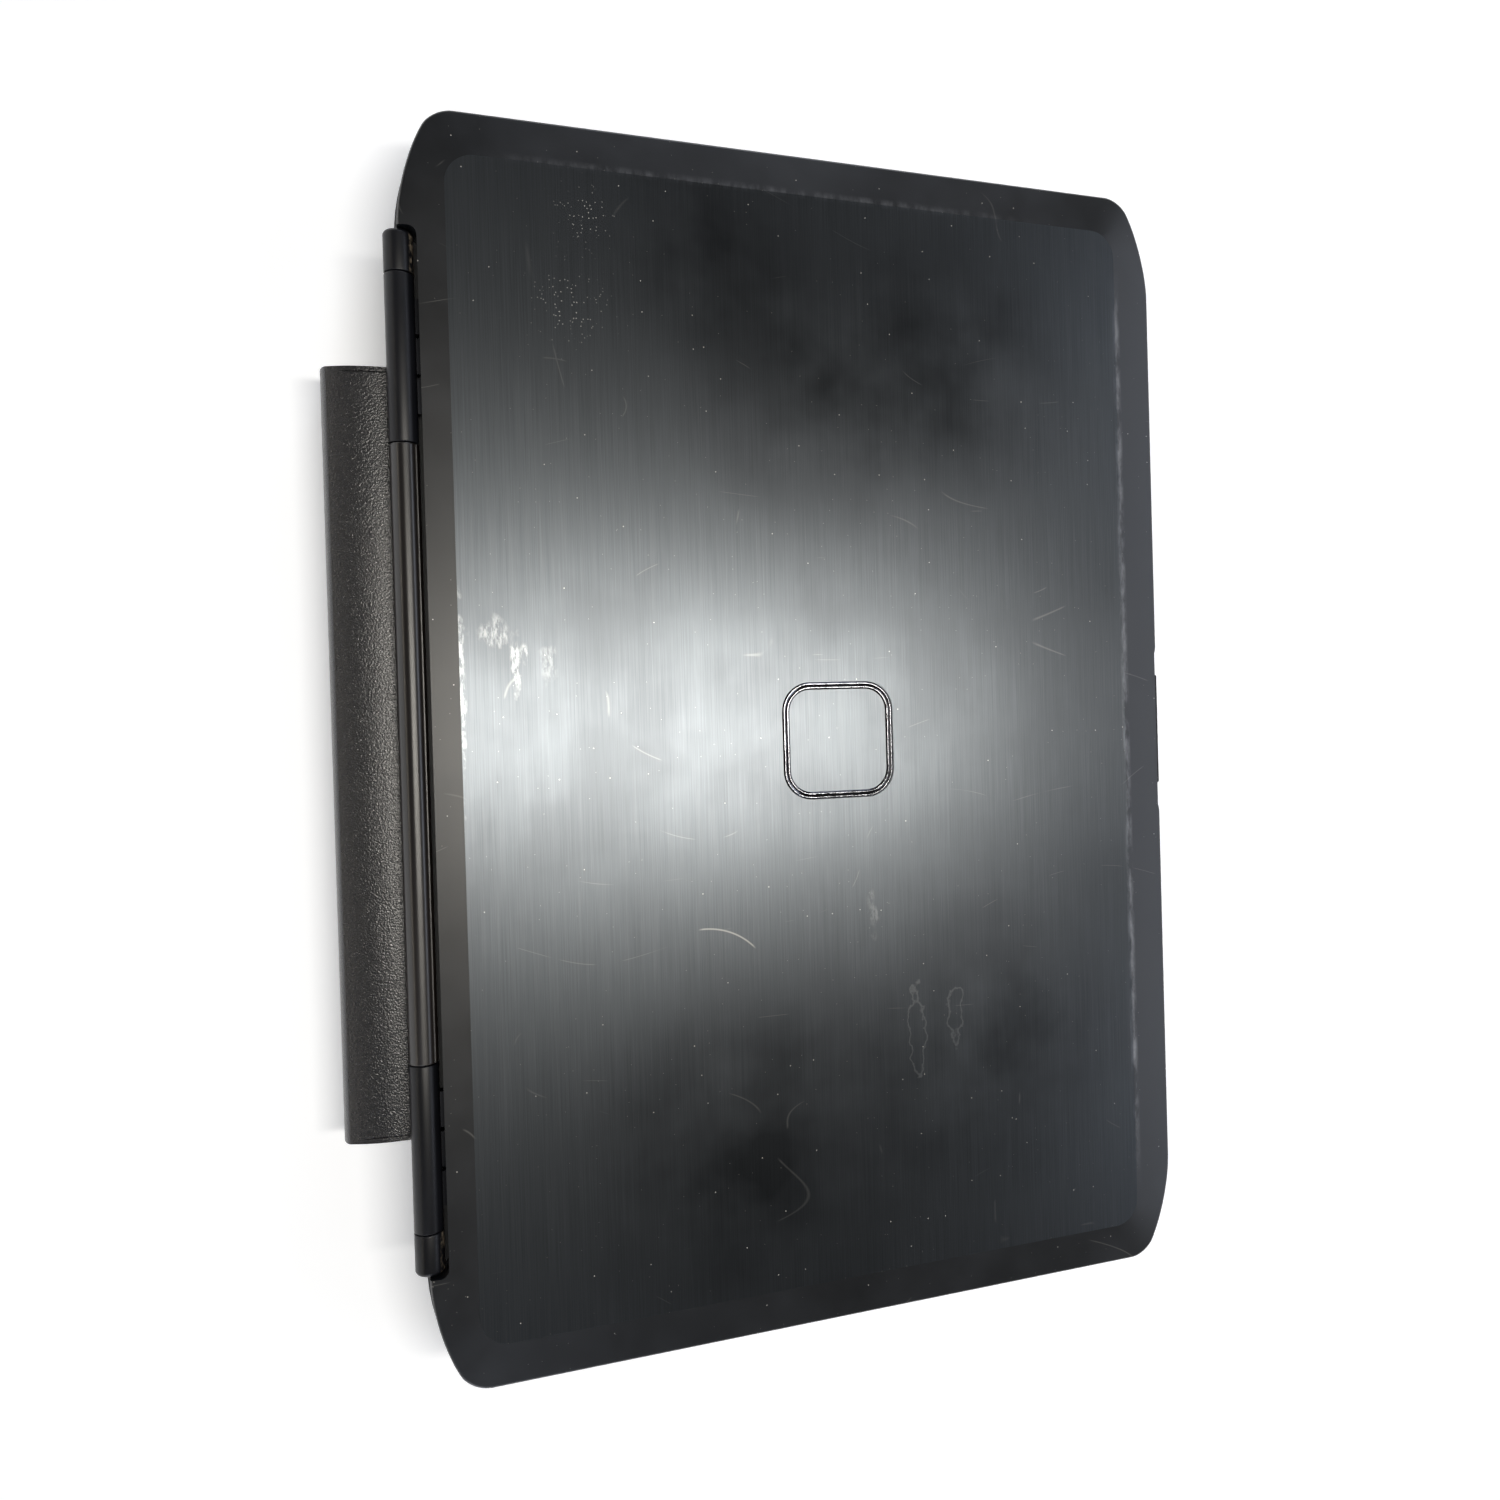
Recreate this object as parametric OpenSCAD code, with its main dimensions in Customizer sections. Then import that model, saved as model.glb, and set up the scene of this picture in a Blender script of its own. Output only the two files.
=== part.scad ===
// Laptop computer with a barrel hinge, a latched lid and an extended battery.
// X runs to the user's right, Y from the front edge to the hinge, Z up from the table.
// The lid is closed at rest. Inside the modules, Y = 0 is the front edge of the base.

/* [Overall] */
// Width of the lid and the base
laptop_w = 338.5; // [334:0.5:346]
// Depth of the base from its front edge to its back wall
base_d = 228.2; // [226:0.2:236]
// Height of the base without its feet
base_h = 20.2; // [19.8:0.1:22]
// Height of the rubber feet below the base
foot_h = 1.4; // [1:0.1:2.5]
// Thickness of the closed lid
lid_t = 9.4; // [9:0.1:11]
// Gap between the closed lid and the palm rest
lid_gap = 0.8; // [0.6:0.1:1.4]

/* [Corners of the plan] */
// Distance from the side at which the long sweep of a corner begins
corner_run = 31; // [28:0.5:34]
// Radius of the long shallow sweep
sweep_r = 54; // [50:0.5:60]
// Radius of the tight part of a corner
corner_r = 9; // [7:0.1:11]

/* [Lid] */
// Wall of the lid cover
lid_wall = 1.8; // [1.4:0.1:2.2]
// Thickness of the lid cover over the display
lid_roof = 1.9; // [1.6:0.1:2.1]
// Height lost by the sloping border of the lid
border_drop = 0.9; // [0.5:0.1:1.2]
// Rounding between the border and the side wall
edge_round = 0.8; // [0.5:0.1:1.2]
// Width of the sloping border at the sides
border_side = 11.6; // [10:0.2:13]
// Width of the sloping border at the front
border_front = 12.9; // [11:0.2:14]
// Width of the sloping border at the hinge
border_back = 7.2; // [6:0.2:9]
// Thickness of the brushed skin plate
skin_t = 0.6; // [0.4:0.1:0.8]
// Size of the blank square mark in the skin
mark_s = 34; // [20:1:36]
// Distance of the mark's centre from the front edge
mark_y = 109.9; // [95:1:125]
// Thickness of the bezel round the screen
bezel_t = 1.4; // [1.2:0.1:1.6]

/* [Display] */
// Distance of the picture from each side of the lid
screen_side = 14.55; // [14:0.05:18]
// Depth of the picture
screen_d = 173.9; // [168:0.1:176]
// Distance of the picture from the lid's front edge
screen_front = 20.5; // [20:0.5:24]
// Thickness of the display panel
panel_t = 4.2; // [3.5:0.1:4.4]

/* [Hinge] */
// Radius of the barrel
barrel_r = 3.78; // [3.7:0.02:3.9]
// Gap between the barrel and the lid
barrel_gap = 1.02; // [0.8:0.02:1.2]
// Height of the hinge axis above the underside of the lid
axis_rise = 4.2; // [4.1:0.1:4.6]
// Distance of the hinge axis in front of the back wall of the base
axis_inset = 1; // [0.8:0.1:1.4]
// Distance of the barrel's ends from the sides of the lid
barrel_inset = 31.95; // [31:0.05:34]
// Length of each end cap
cap_l = 11.2; // [10:0.1:12]
// Length of each sleeve
sleeve_l = 44.6; // [42:0.1:48]
// Wall of the sleeves and caps
sleeve_wall = 0.75; // [0.6:0.05:0.8]
// Radius of the steel hinge shaft
shaft_r = 2.2; // [2:0.05:2.3]
// Thickness of the steel friction clips and arms
clip_t = 0.6; // [0.5:0.05:0.65]
// Number of friction clips on each shaft
clip_count = 3; // [2:1:4]
// Angle to which the lid opens
lid_open = 150; // [120:1:155]

/* [Latch] */
// Width of the latch button
button_w = 34.8; // [30:0.2:40]
// Height of the latch button
button_h = 5.4; // [4.6:0.1:5.6]
// Distance the button stands out of the lid's front edge
button_proud = 0.8; // [0.5:0.1:1]
// Travel of the latch
latch_travel = 2; // [1.5:0.1:2.2]
// Distance of each hook from the side of the lid
hook_inset = 74.25; // [66:0.25:76]

/* [Casing] */
// Thickness of the bottom case floor
floor_t = 1.8; // [1.6:0.1:2]
// Thickness of the side walls
side_t = 1.8; // [1.6:0.1:2]
// Thickness of the top cover
deck_t = 1.6; // [1.4:0.1:1.8]
// Height of the top cover's rim
rim_h = 5.6; // [5.2:0.1:5.8]
// Inset of the bottom edge of the case
taper = 3.2; // [2:0.1:4]
// Radius of the screw bosses
boss_r = 3.4; // [3.2:0.1:3.6]
// Radius of the case screws' shanks
screw_r = 1.25; // [1:0.05:1.4]

/* [Keyboard] */
// Distance between two key columns
key_pitch = 19; // [18.6:0.1:19.2]
// Distance between two key rows
row_pitch = 18.6; // [18:0.1:18.8]
// Depth of the top row of half keys
half_row = 12; // [11:0.5:12.5]
// Gap between two key caps
key_gap = 3.2; // [2.6:0.1:4]
// Travel of a key
key_travel = 2; // [1.6:0.1:2.1]
// Height of a key cap
key_h = 2.8; // [2.5:0.1:2.9]
// Clearance round a key cap in the frame
key_clear = 0.35; // [0.25:0.05:0.5]
// Distance from the keyboard to the back wall of the base
keyboard_back_gap = 17.2; // [16.5:0.1:18]

/* [Touchpad] */
// Middle of the touchpad from the middle of the base
pad_x = -18; // [-30:1:-10]
// Width of the touchpad
pad_w = 90; // [80:1:96]
// Depth of the touchpad
pad_d = 48; // [44:0.5:49]
// Front edge of the touchpad from the front of the base
pad_front = 38.6; // [38:0.2:40]
// Travel of the pad, stick and panel buttons
press = 0.8; // [0.5:0.1:1]

/* [Battery] */
// Width of the battery
battery_w = 206.4; // [200:0.2:208]
// Depth of the battery inside the base
battery_in = 52.2; // [48:0.2:53]
// Distance the battery stands out behind the base
battery_out = 20.1; // [18:0.1:24]
// Clearance between the battery and its bay
bay_gap = 0.35; // [0.3:0.05:0.6]
// Distance the battery slides out
battery_travel = 60; // [54:1:80]

/* [Drives] */
// Width of the disc drive from front to back
odd_d = 127.4; // [126:0.1:128]
// Depth of the disc drive into the base
odd_w = 128.5; // [126:0.5:129]
// Height of the disc drive
odd_h = 9.5; // [9:0.1:9.8]
// Front face of the disc drive from the front of the base
odd_front = 24.2; // [24:0.1:26]
// Travel of the disc tray
tray_travel = 115; // [100:1:118]

/* [Hidden] */
$fn = 48;
sheet = 0.02;
fit = 0.3;

overall_d = button_proud + base_d + battery_out;
front_y = button_proud - overall_d / 2;

base_z0 = foot_h;
floor_z = base_z0 + floor_t;
deck_z = base_z0 + base_h;
under_deck = deck_z - deck_t;
split_z = deck_z - rim_h;
lid_z0 = deck_z + lid_gap;
lid_z1 = lid_z0 + lid_t;
axis_y = base_d - axis_inset;
axis_z = lid_z0 + axis_rise;
lid_d = axis_y - barrel_r - barrel_gap;
half_w = laptop_w / 2;
cap_end = half_w - barrel_inset;
sleeve_end = cap_end - cap_l;
cover_half = sleeve_end - sleeve_l;
ear_x = cap_end + 0.5;
ear_corner = 2.4;
screen_w = laptop_w - 2 * screen_side;

sweep_a = asin((corner_run - corner_r) / (sweep_r - corner_r));

// Lid values
roof_z = lid_z1 - lid_roof;
bezel_z1 = lid_z0 + bezel_t;
lid_inside = lid_wall + 0.5;
panel_edge = 4.5;
panel_z0 = bezel_z1 + 0.1;
crease_w = laptop_w - 2 * border_side;
crease_y0 = border_front;
crease_y1 = lid_d - border_back;
crease_r = 8;

// Latch values: the slide bar lies behind the lid's front wall
hook_x = half_w - hook_inset;
bar_y0 = lid_wall + 0.4;
bar_d = 5;
bar_z0 = bezel_z1 + 0.2;
bar_h = 3;
hook_w = 5;
hook_t = 2;
hook_reach = deck_z - 3.2;
hook_y1 = bar_y0 + bar_d - 0.2;
hook_y0 = hook_y1 - hook_t;
nose = 1.4;
latch_recess = 0.82;
button_round = 0.6;
spring_x = hook_x - 35;
spring_r = 1.3;
spring_l = 6;

// Base values
cap_skirt_y0 = -3;
cap_skirt_y1 = 0.8;
keyboard_w = 16 * 18;
keyboard_back = base_d - keyboard_back_gap;
keyboard_d = half_row + 5 * row_pitch;
keyboard_front = keyboard_back - keyboard_d;
kb_rim = 1.2;
plate_z0 = deck_z - 6.2;
plate_t = 0.8;
key_top = deck_z - 0.2;
key_z0 = key_top - key_h;
frame_z1 = deck_z - 2.2;
stick_r = 3.1;
stick_x = 6.75 * key_pitch - keyboard_w / 2;
stick_y = keyboard_front + 2 * row_pitch;
board_z1 = deck_z - 7;
board_t = 1.2;
board_z0 = board_z1 - board_t;
bay_y0 = base_d - battery_in - bay_gap;
bay_half = battery_w / 2 + bay_gap;
bay_top = plate_z0 - 0.1;
odd_z0 = base_z0 + 3.6;
odd_x0 = half_w - odd_w;
odd_mid = odd_front + odd_d / 2;
disc_x = half_w - odd_w / 2;
disc_r = min(odd_d, odd_w) / 2 - 3.2;
buttons_y0 = pad_front - 15.4;
button_d = 13.4;
stick_buttons_y0 = pad_front + pad_d + 1.6;
stick_button_d = 11;
fan_x = 38.25 - half_w;
fan_y = base_d - 30.2;
fan_r = 17.5;
fan_z0 = floor_z + 0.8;
fan_h = 10;
card_y0 = 16;
card_w = 54.6;
card_h = 5.3;
card_z0 = base_z0 + 8;
card_l = 74;
quick_y = keyboard_back + 5.4;

// Screws that join the bottom case to the top cover and to the keyboard
deck_screws = [
  [19.25 - half_w, 9], [20, 7.5], [half_w - 19.25, 9],
  [29.25 - half_w, card_y0 + card_w + 5.4], [odd_x0 - 3.75, 62],
  [8.25 - half_w, base_d - 16], [half_w - 21.25, base_d - 8.7]
];
keyboard_screws = [[-103, base_d - 63.2], [103, base_d - 63.2]];

// ---------- shared shapes ----------

function arc(c, r, a0, a1, n, first = 0) =
  [for (i = [first:n]) let(a = a0 + (a1 - a0) * i / n) c + r * [cos(a), sin(a)]];

// One front corner of the plan: a long sweep, then a tight arc into the side.
function corner(inset) = concat(
  arc([half_w - corner_run, sweep_r], sweep_r - inset, -90, -90 + sweep_a, 8),
  arc([half_w - corner_r, sweep_r - (sweep_r - corner_r) * cos(sweep_a)],
      corner_r - inset, -90 + sweep_a, 0, 6, 1));

function plan(depth, inset = 0) = let(q = corner(inset), last = len(q) - 1) concat(
  q,
  [for (i = [last:-1:0]) [q[i].x, depth - q[i].y]],
  [for (p = q) [-p.x, depth - p.y]],
  [for (i = [last:-1:0]) [-q[i].x, q[i].y]]);

function round_box(w, d, r, n = 4) = concat(
  arc([w / 2 - r, d / 2 - r], r, 0, 90, n), arc([r - w / 2, d / 2 - r], r, 90, 180, n),
  arc([r - w / 2, r - d / 2], r, 180, 270, n), arc([w / 2 - r, r - d / 2], r, 270, 360, n));

module placed() { translate([0, front_y, 0]) children(); }

module block(x, y, z) {
  translate([x[0], y[0], z[0]]) cube([x[1] - x[0], y[1] - y[0], z[1] - z[0]]);
}

module slab(z0, z1, depth, inset = 0) {
  translate([0, 0, z0]) linear_extrude(z1 - z0) polygon(plan(depth, inset));
}

module both_sides() {
  children();
  mirror([1, 0, 0]) children();
}

// A solid round bar along X.
module bar_x(x, y, z, r) {
  translate([x[0], y, z]) rotate([0, 90, 0]) cylinder(h = x[1] - x[0], r = r);
}

// A pillar with rounded corners, centred on x and y.
module tablet(x, y, z, w, d, r) {
  translate([x, y, z[0]]) linear_extrude(z[1] - z[0]) polygon(round_box(w, d, r));
}

module drill(x, y, z, r) { translate([x, y, z[0]]) cylinder(h = z[1] - z[0], r = r); }

// ---------- lid ----------

function crease(inset = 0) = [for (p = round_box(crease_w - 2 * inset, crease_y1 - crease_y0 - 2 * inset,
  crease_r)) p + [0, (crease_y0 + crease_y1) / 2]];

module lid_form() {
  border_z = lid_z1 - border_drop;
  hull() {
    slab(lid_z0, border_z - edge_round, axis_y);
    slab(border_z - sheet, border_z, axis_y, edge_round);
  }
  hull() {
    slab(border_z - sheet, border_z, axis_y, edge_round);
    translate([0, 0, lid_z1 - sheet]) linear_extrude(sheet) polygon(crease());
  }
}

// The bay between the lid's ears, in which the barrel lies.
module barrel_bay() {
  bay_mid = lid_d + ear_corner;
  points = concat(
    [[ear_x, axis_y + 1]], [[-ear_x, axis_y + 1]],
    arc([ear_corner - ear_x, bay_mid], ear_corner, 180, 270, 4),
    arc([ear_x - ear_corner, bay_mid], ear_corner, 270, 360, 4));
  translate([0, 0, lid_z0 - 1]) linear_extrude(lid_t + 2) polygon(points);
}

// A shallow recess of the front edge on both sides of the latch button.
module latch_hollow() {
  near = button_w / 2 + 7;
  far = near + 6;
  points = [[-far, -1], [-far, 0], [-near, latch_recess], [near, latch_recess], [far, 0], [far, -1]];
  translate([0, 0, lid_z0 - 1]) linear_extrude(lid_t + 2) polygon(points);
}

arm_x0 = cover_half + 8;
arm_x1 = sleeve_end - 5;
arm_screw_x = [arm_x1 + 6, arm_x1 + 24];
arm_y0 = lid_d - 14;
arm_y1 = lid_d - 4;
tail_z0 = axis_z - clip_t;
rail_x = screen_w / 2 + panel_edge + 0.6;

module lid_cover() {
  color([0.11, 0.115, 0.13]) placed() {
    difference() {
      lid_form();
      barrel_bay();
      latch_hollow();
      slab(lid_z0 - 1, roof_z, lid_d, lid_wall);
      translate([0, 0, lid_z1 - skin_t]) linear_extrude(1) polygon(crease());
      both_sides() block([arm_x0 - fit, arm_x1 + fit], [lid_d - lid_wall - 1, lid_d + 1],
        [tail_z0 - fit, tail_z0 + 2 * clip_t + fit]);
      block([-button_w / 2 - fit, button_w / 2 + fit], [-1, lid_wall + 1],
        [bar_z0 - fit, bar_z0 + button_h + fit]);
    }
    both_sides() {
      for (x = arm_screw_x) difference() {
        drill(x, (arm_y0 + arm_y1) / 2, [tail_z0 + clip_t, roof_z], 2.4);
        drill(x, (arm_y0 + arm_y1) / 2, [tail_z0, roof_z - 0.6], 0.8);
      }
      difference() {
        block([spring_x - 3, spring_x + 3],
          [bar_y0 + bar_d + latch_travel + 0.5, bar_y0 + bar_d + spring_l + 1.6], [bar_z0 - 0.1, roof_z]);
        translate([spring_x, bar_y0 + bar_d, bar_z0 + bar_h / 2]) rotate([-90, 0, 0])
          cylinder(h = spring_l + 0.8, r = spring_r + 0.3);
      }
    }
  }
}

module lid_skin() {
  color([0.2, 0.205, 0.215]) placed() difference() {
    translate([0, 0, lid_z1 - skin_t]) linear_extrude(skin_t) polygon(crease(0.1));
    tablet(0, mark_y, [lid_z1 - 0.3, lid_z1 + 1], mark_s + 0.2, mark_s + 0.2, mark_s / 4);
  }
}

module lid_mark() {
  color([0.62, 0.63, 0.65]) placed()
    tablet(0, mark_y, [lid_z1 - 0.3, lid_z1], mark_s, mark_s, mark_s / 4);
}

window_x = screen_w / 2 + 0.6;
window_y0 = screen_front - 0.6;
window_y1 = screen_front + screen_d + 0.6;
camera_y = screen_front - panel_edge - 2.5;
bumpers = [[-152, 9], [-60, 6], [60, 6], [152, 9], [-160, lid_d - 30], [160, lid_d - 30]];

module lid_bezel() {
  color([0.09, 0.09, 0.1]) placed() difference() {
    slab(lid_z0, bezel_z1, lid_d, lid_inside);
    block([-window_x, window_x], [window_y0, window_y1], [lid_z0 - 1, bezel_z1 + 1]);
    both_sides() block([hook_x - hook_w / 2 - 0.7, hook_x + hook_w / 2 + 0.7],
      [hook_y0 - nose - 0.5, hook_y1 + latch_travel + 0.5], [lid_z0 - 1, bezel_z1 + 1]);
    drill(0, camera_y, [lid_z0 - 1, bezel_z1 + 1], 2);
    for (s = [-1, 1]) drill(s * 9, camera_y, [lid_z0 - 1, bezel_z1 + 1], 0.6);
  }
}

module bezel_bumpers() {
  color([0.06, 0.06, 0.06]) placed()
    for (p = bumpers) tablet(p.x, p.y, [lid_z0 - lid_gap + 0.15, lid_z0], 8, 4, 1.6);
}

module display_panel() {
  color([0.03, 0.035, 0.04]) placed() difference() {
    union() {
      block([-screen_w / 2 - panel_edge, screen_w / 2 + panel_edge],
        [screen_front - panel_edge, screen_front + screen_d + panel_edge],
          [panel_z0, panel_z0 + panel_t]);
      block([-screen_w / 2 + 20, screen_w / 2 - 20],
        [screen_front + screen_d + panel_edge, screen_front + screen_d + panel_edge + 8],
        [panel_z0, panel_z0 + panel_t / 2]);
    }
    block([-screen_w / 2, screen_w / 2], [screen_front, screen_front + screen_d],
      [panel_z0 - 1, panel_z0 + 0.3]);
  }
}

module camera_module() {
  color([0.05, 0.05, 0.07]) placed() {
    tablet(0, camera_y, [lid_z0 + 0.2, bezel_z1 + 0.4], 3.4, 3.4, 1.2);
    block([-22, 22], [camera_y - 1.7, camera_y + 1.7], [bezel_z1 + 0.1, bezel_z1 + 1.8]);
  }
}

module display_cable() {
  color([0.25, 0.2, 0.12]) placed()
    block([-arm_x0 - 8, -screen_w / 2 + 110], [lid_d - 11.6, lid_d - 6.4],
      [bezel_z1 + 0.1, bezel_z1 + 0.9]);
}

// A flat steel arm whose tail wraps the shaft as a row of friction clips.
module hinge_arm() {
  outer = shaft_r + 0.04 + clip_t;
  pitch = (arm_x1 - arm_x0) / clip_count;
  difference() {
    union() {
      for (i = [0:clip_count - 1]) {
        x0 = arm_x0 + i * pitch;
        bar_x([x0 + 0.4, x0 + pitch - 0.8], axis_y, axis_z, outer);
        block([x0 + 0.4, x0 + pitch - 0.8], [lid_d - 4, axis_y], [tail_z0, tail_z0 + clip_t]);
      }
      block([arm_x0, arm_screw_x[1] + 4], [arm_y0, arm_y1], [tail_z0, tail_z0 + clip_t]);
      block([arm_x1 + 10, rail_x + clip_t], [arm_y0, arm_y0 + 4], [tail_z0, tail_z0 + clip_t]);
      block([rail_x, rail_x + clip_t], [screen_front, arm_y0 + 4], [panel_z0 + 0.4, tail_z0 + clip_t]);
    }
    bar_x([arm_x0 - 1, arm_x1 + 1], axis_y, axis_z, shaft_r + 0.04);
    // The mouth of the clips, where the band ends just short of the arm.
    block([arm_x0 - 1, arm_x1 + 1], [axis_y - outer - 1, axis_y - shaft_r * 0.6],
      [tail_z0 + clip_t, tail_z0 + clip_t + 0.7]);
    for (x = arm_screw_x) drill(x, (arm_y0 + arm_y1) / 2, [tail_z0 - 1, tail_z0 + 1], 1);
  }
  for (x = arm_screw_x) {
    drill(x, (arm_y0 + arm_y1) / 2, [tail_z0 - 0.8, tail_z0 - 0.02], 1.9);
    drill(x, (arm_y0 + arm_y1) / 2, [tail_z0 - 0.8, roof_z - 0.9], 0.75);
  }
}

module hinge_arms() { color([0.55, 0.56, 0.58]) placed() both_sides() hinge_arm(); }

module hinge_sleeves() {
  color([0.1, 0.1, 0.11]) placed() both_sides() difference() {
    bar_x([cover_half + 0.25, sleeve_end - 0.15], axis_y, axis_z, barrel_r);
    bar_x([cover_half, sleeve_end], axis_y, axis_z, barrel_r - sleeve_wall);
    block([arm_x0 - fit, arm_x1 + fit], [axis_y - barrel_r - 1, axis_y - 1],
      [tail_z0 - 0.15, tail_z0 + clip_t + 0.15]);
  }
}

module latch_button() {
  color([0.13, 0.13, 0.14]) placed() {
    half = button_w / 2;
    face = concat(
      [[half, bar_y0 + 0.05], [-half, bar_y0 + 0.05]],
      arc([button_round - half, button_round - button_proud], button_round, 180, 270, 4),
      arc([half - button_round, button_round - button_proud], button_round, 270, 360, 4));
    translate([0, 0, bar_z0]) linear_extrude(button_h) polygon(face);
  }
}

module latch_slider() {
  color([0.5, 0.5, 0.52]) placed() {
    difference() {
      block([-hook_x - hook_w, hook_x + hook_w], [bar_y0 + 0.05, bar_y0 + bar_d],
        [bar_z0, bar_z0 + bar_h]);
      for (x = [20 - hook_x, -hook_x / 3, hook_x / 3, hook_x - 20])
        tablet(x, bar_y0 + bar_d / 2, [bar_z0 - 1, bar_z0 + bar_h + 1], 16, 2, 0.9);
    }
    both_sides() translate([hook_x - hook_w / 2, 0, 0]) {
      profile = [
        [hook_y0, bar_z0 + 0.1], [hook_y0, hook_reach + 2], [hook_y0 - nose, hook_reach + 1.2],
        [hook_y0 - nose + 0.6, hook_reach], [hook_y1, hook_reach], [hook_y1, bar_z0 + 0.1]
      ];
      rotate([90, 0, 90]) linear_extrude(hook_w) polygon(profile);
    }
  }
}

// A coil spring as one closed ribbed sleeve.
module coil(l, r, wire, turns) {
  pitch = l / turns;
  ribs = [for (i = [0:turns - 1]) each [[r - wire / 2, i * pitch], [r, (i + 0.5) * pitch]]];
  rotate_extrude($fn = 32) polygon(concat([[r - wire, 0]], ribs, [[r - wire / 2, l], [r - wire, l]]));
}

module latch_springs() {
  color([0.7, 0.7, 0.7]) placed() both_sides()
    translate([spring_x, bar_y0 + bar_d, bar_z0 + bar_h / 2]) rotate([-90, 0, 0])
      coil(spring_l - latch_travel, spring_r, 0.4, 8);
}

// ---------- base casing ----------

vent_y0 = base_d - 58;
vent_n = 11;
vent_pitch = 3.5;
speaker_x = [42, 92];
usb_left = [base_d - 72, base_d - 90];
usb_right = base_d - 48.6;
usb_w = 13.2;
usb_h = 5.6;
video_y = base_d - 116;
lock_y = base_d - 15.5;
net_y = base_d - 33;
net_w = 13;
net_h = 8.4;
sound_y = [base_d - 61, base_d - 70];
sound_z = board_z0 - 2.9;
sound_r = 1.8;
inlet_y = base_d - 20;
inlet_z = board_z0 - 4.6;
inlet_r = 3.75;
post_r = 2.6;
dock_y = [odd_front + odd_d + 4.4, odd_front + odd_d + 13.4];
board_posts = [
  [9.25 - half_w, 88], [69.25 - half_w, 90], [30, 90], [84, dock_y[0] + 6], [half_w - 39.25, bay_y0 + 14]
];
door_x = [-92, 34];
door_y = [96, 152];
door_t = 0.9;
door_screws = [[door_x[0] + 3.6, door_y[0] + 3.6], [door_x[1] - 3.6, door_y[0] + 3.6]];
dock_x = [0, 60];
latch_x = 62;
foot_x = 128;
feet = [[foot_x, 14], [-foot_x, 14], [foot_x, base_d - 10], [-foot_x, base_d - 10]];
foot_w = 30;
foot_d = 9;

module screw_boss(p, z1) { drill(p.x, p.y, [base_z0 + 0.5, z1], boss_r); }

module left_port(y, z, deep = 3) { block([-half_w - 1, deep - half_w], y, z); }
module right_port(y, z) { mirror([1, 0, 0]) left_port(y, z); }

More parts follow.
